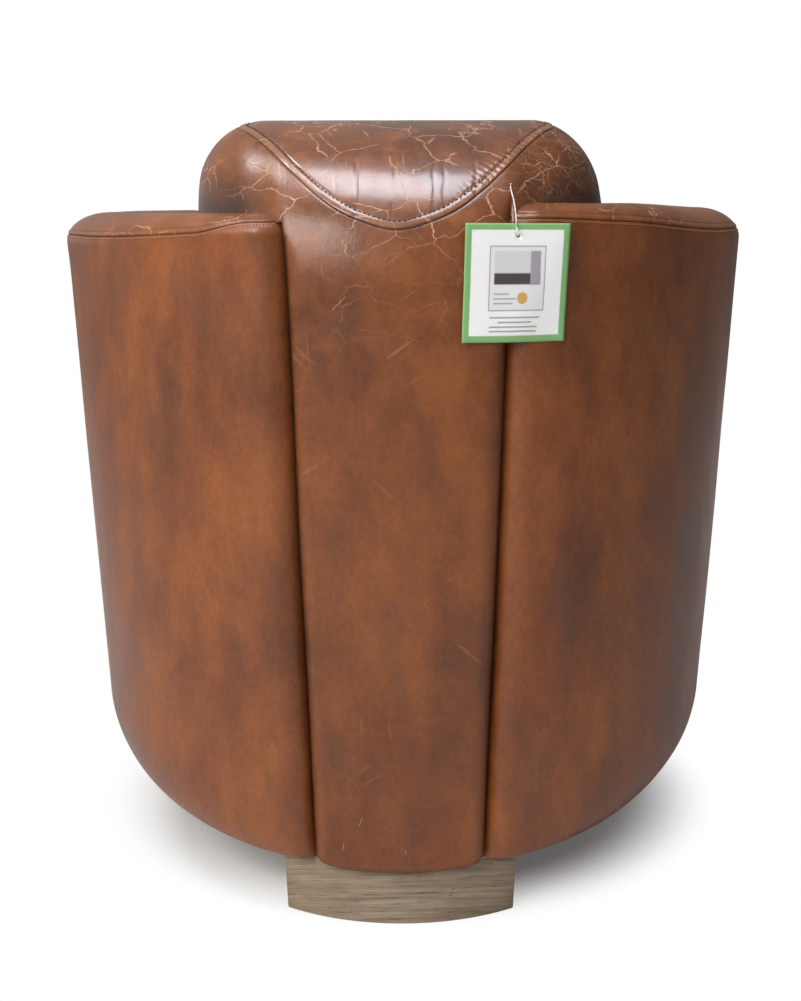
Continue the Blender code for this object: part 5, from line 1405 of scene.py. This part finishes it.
black_nylon = plated("black nylon, moulded", "#1b1b1c", 0.45, 0.0)
nickel = plated("nickel plated zinc, die cast", "#c3c0b8", 0.25)
tape_look = woven("woven zip tape", "#141415", "#2b2a2a", 0.8 * MM)
bm = bmesh.new()
bmesh.ops.create_grid(bm, x_segments=90, y_segments=6, size=0.5)
for v in bm.verts:
    x, z = v.co.x * 2 * (ZIP_HALF + 0.004), v.co.y * TAPE_HIGH
    v.co = (x, zip_face_y + 0.5 * MM - 0.25 * MM * (abs(z) < 2.5 * MM), cushion_mid_z + z)
turn_faces(bm, 1)
tape = object_from("zip_tape", bm, tape_look, 0.4 * MM)
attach(tape, "seat_cushion")
bm = bmesh.new()
count = int(2 * ZIP_HALF / TOOTH_PITCH)
for k in range(count):
    for half in (-1, 1):
        x = -ZIP_HALF + (k + 0.25 + 0.25 * half) * TOOTH_PITCH
        at = Matrix.Translation((x, zip_face_y + 0.7 * MM, cushion_mid_z + half * 0.9 * MM))
        tooth = at @ Matrix.Diagonal((0.75 * MM, 0.55 * MM, 1.7 * MM, 1))
        bmesh.ops.create_icosphere(bm, subdivisions=1, radius=1, matrix=tooth)
teeth = object_from("zip_coil", bm, black_nylon)
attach(teeth, "seat_cushion")
slider_low, slider_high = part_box("cushion_zip_slider")
slider_mid = (slider_low + slider_high) / 2
bm = bmesh.new()
slider_size = Matrix.Diagonal((*((slider_high - slider_low) * 0.94), 1))
bmesh.ops.create_cube(bm, size=1, matrix=Matrix.Translation(slider_mid) @ slider_size)
for v in bm.verts:
    if v.co.x > slider_mid.x:
        v.co.z = lerp(slider_mid.z, v.co.z, 0.72)
bmesh.ops.bevel(bm, geom=list(bm.edges), offset=0.9 * MM, **BEVEL)
slider = object_from("zip_slider_nickel", bm, nickel)
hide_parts("cushion_zip_slider")
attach(slider, "zip_slider")
pull_middle = Vector((slider_mid.x, slider_high.y + 1.2 * MM, slider_mid.z - 7 * MM))
turns = [math.tau * k / 24 for k in range(24)]
pull_points = [pull_middle + Vector((2.6 * MM * math.cos(a), 0, 7.5 * MM * math.sin(a))) for a in turns]
cord_along("zip_pull", pull_points, 0.6 * MM, nickel, "zip_slider")

# Inside back: a hide over foam, hollow across and leaning back, its edges tucked beside the arms and under
# the headrest.
INNER_BACK_Y, INNER_RAKE, INNER_HOLLOW, INNER_ROUND = 0.172, 0.15, 0.060, 0.022
DECK_TOP_Z = 0.320


def inner_back_y(x, z):
    return INNER_BACK_Y + INNER_RAKE * (z - DECK_Z) - INNER_HOLLOW * (abs(x) / CUSHION_HALF) ** 2


def inner_arm_edge(z, place):
    half = half_at(z)
    point, out = arm_arc(half, z, place)
    return point - out * (2 * arm_radius(half, place) + 0.003)


def inner_wide(z):
    for k in range(200):
        x, y = inner_arm_edge(z, k / 200)
        if y < inner_back_y(x, z) + INNER_ROUND * 2:
            return x
    return inner_arm_edge(z, 0.4)[0]


INNER_LOW_Z = DECK_TOP_Z + 0.3 * MM
inner_rows = [inner_wide(lerp(INNER_LOW_Z, HOOD_FRONT_Z, k / 100)) for k in range(101)]


def inner_point(s, t):
    t = min(t / 0.97, 1.0)
    wide = inner_rows[int(round(t * 100))]
    z = lerp(INNER_LOW_Z, HOOD_FRONT_Z, t)
    x = wide * math.sin(lerp(-math.pi / 2, math.pi / 2, s))
    off = rounding(wide - abs(x), INNER_ROUND) + rounding(HOOD_FRONT_Z - z, INNER_ROUND) * 0.98
    return Vector((x, inner_back_y(x, z) + min(off, INNER_ROUND * 1.3), z))


def inner_relief(co, s, t):
    edge = smooth(min(s, 1 - s) / 0.12) * smooth(min(t, 1 - t) / 0.08)
    return (dents(co, 41.0) + hills((co.x, 0, co.z * 0.5), 0.05, 4) * 0.5 * MM - 1.0 * MM) * edge


def inner_edge_shade(co, s, t):
    # Painted shade: darker at the edges tucked beside the arms.
    return -0.7 * (1 - smooth(min(s, 1 - s) / 0.03))


def inner_age(co, s, t):
    return 0.35 + 0.4 * smooth((co.z - 0.5) / 0.1)


middle = (0, 0.35, 0.48)
inside = cut_hide(
    "inside_back_hide", 150, 110, inner_point, hide_look, middle, inner_relief, None, inner_edge_shade, inner_age
)
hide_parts("inside_back_leather", "back_foam")
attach(inside, "chair")

# Apron: the hide between the arms' front ends and under the cushion, drawn over a thin pad. It starts under the
# keel, follows the arms' rounding and is turned in at the deck.
APRON_RECESS, APRON_TOP_Z = 0.35, 0.320
APRON_BILGE, APRON_TURNED = 0.40, 0.93


def apron_point(s, t):
    if t < APRON_BILGE:
        kind, value = "bilge", BILGE_FAR * t / APRON_BILGE
    else:
        top = (DECK_Z - SIDE_START_Z) / (ARM_ROLL_Z - SIDE_START_Z)
        kind, value = "side", top * (t - APRON_BILGE) / (1 - APRON_BILGE)
    centre = arm_point(("front", math.pi / 2), (kind, value))
    if kind == "bilge":
        half = BOTTOM_HALF + BILGE_REACH * math.sin(value)
    else:
        half = side_half(lerp(SIDE_START_Z, ARM_ROLL_Z, value))
    radius = arm_radius(half, 1)
    point, out = arm_arc(half, centre.z, 1)
    middle = point - out * radius
    reach = middle.x - radius - CREVICE_GAP
    x = reach * math.sin(lerp(-math.pi / 2, math.pi / 2, s))
    y = middle.y - radius * APRON_RECESS + rounding(reach - abs(x), 0.008)
    z = max(centre.z, BOTTOM_Z + 2.3 * MM)
    if t > APRON_TURNED:
        z = lerp(z, APRON_TOP_Z, (t - APRON_TURNED) / (1 - APRON_TURNED))
        y += rounding(APRON_TOP_Z - z, 0.010)
    return Vector((x, y, z))


def apron_relief(co, s, t):
    edge = smooth(min(s, 1 - s) / 0.10) * smooth(min(t, 1 - t) / 0.08)
    return dents(co, 52.0) * edge * 0.8


def apron_edge_shade(co, s, t):
    # Painted shade: darker at the edges beside the arms' front ends.
    return -0.7 * (1 - smooth(min(s, 1 - s) / 0.02))


middle = (0, 0.0, 0.25)
apron = cut_hide("apron_hide", 140, 90, apron_point, hide_look, middle, apron_relief, None, apron_edge_shade, 0.25)
apron_front_y = min(v.co.y for v in apron.data.vertices if v.co.z > 0.29)
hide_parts("apron_leather", "apron_padding")
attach(apron, "chair")

# Deck: black platform cloth stretched over the sprung pad under the cushion. It is tucked down beside the arms
# and behind the apron.
deck_cloth = woven("black platform cloth", "#151414", "#2e2b2a", 1.6 * MM)
DECK_DROP, DECK_TUCK = 0.020, 0.026
DECK_FRONT_Y = apron_front_y + 0.030


def deck_shape(co):
    ring = max(abs(co.x), abs(co.y))
    turn = math.atan2(co.y, co.x)
    edge = cushion_edge(turn, CUSHION_DRAW - DECK_TUCK * 0.45)
    edge.y = min(max(edge.y, DECK_FRONT_Y), 0.168)
    flat = Vector((0, cushion_middle, 0)).lerp(edge, ring)
    fall = smooth((ring - 0.90) / 0.10)
    flat.z = DECK_TOP_Z - 0.8 * MM - DECK_DROP * fall + hills(flat, 0.05, 12) * 0.3 * MM * (1 - fall)
    return flat


bm = bmesh.new()
bmesh.ops.create_grid(bm, x_segments=90, y_segments=90, size=1)
for v in bm.verts:
    v.co = deck_shape(v.co)
turn_faces(bm, 2)
deck = object_from("deck_cloth", bm, deck_cloth, 1.0 * MM)
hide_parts("deck_pad")
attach(deck, "chair")

# Frame: planed pine rails and posts, plywood base and ribs, fibreboard behind the hides, zigzag springs of
# blued steel, webbing, a black dust cover and nylon glides. These stay as the model has them.
pine = sawn_wood("planed pine", "#c39a66", "#e0c293", "#8f6638", 6.0, 0.0, 0.6)
fibreboard = sawn_wood("pressed fibreboard", "#6d4d33", "#8b6747", "#4a3423", 60.0, 0.0, 0.85)
spring_steel = plated("blued spring steel", "#5a6068", 0.35)
zinc = plated("zinc plated steel", "#b5b7ba", 0.32)
webbing = woven("jute webbing", "#6f5a3c", "#a58a5e", 2.6 * MM)
cambric = woven("black cambric", "#121212", "#242323", 1.0 * MM)
names = sorted(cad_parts)
timber = ("back_post", "back_top_rail", "back_mid_rail", "seat_rail", "front_bulkhead", "rear_bulkhead", "base_board")
timber += ("arm_rib", "arm_rim")
finish_nodes(pine, *[n for n in names if n.startswith(timber)])
finish_nodes(fibreboard, *[n for n in names if "board" in n and n != "base_board"])
finish_nodes(spring_steel, *[n for n in names if n.startswith(("seat_spring", "spring_strip"))])
finish_nodes(zinc, *[n for n in names if n.startswith("plinth_bolt")])
finish_nodes(black_nylon, *[n for n in names if n.startswith("glide")])
finish_nodes(webbing, "back_webbing")
finish_nodes(cambric, "dust_cover")
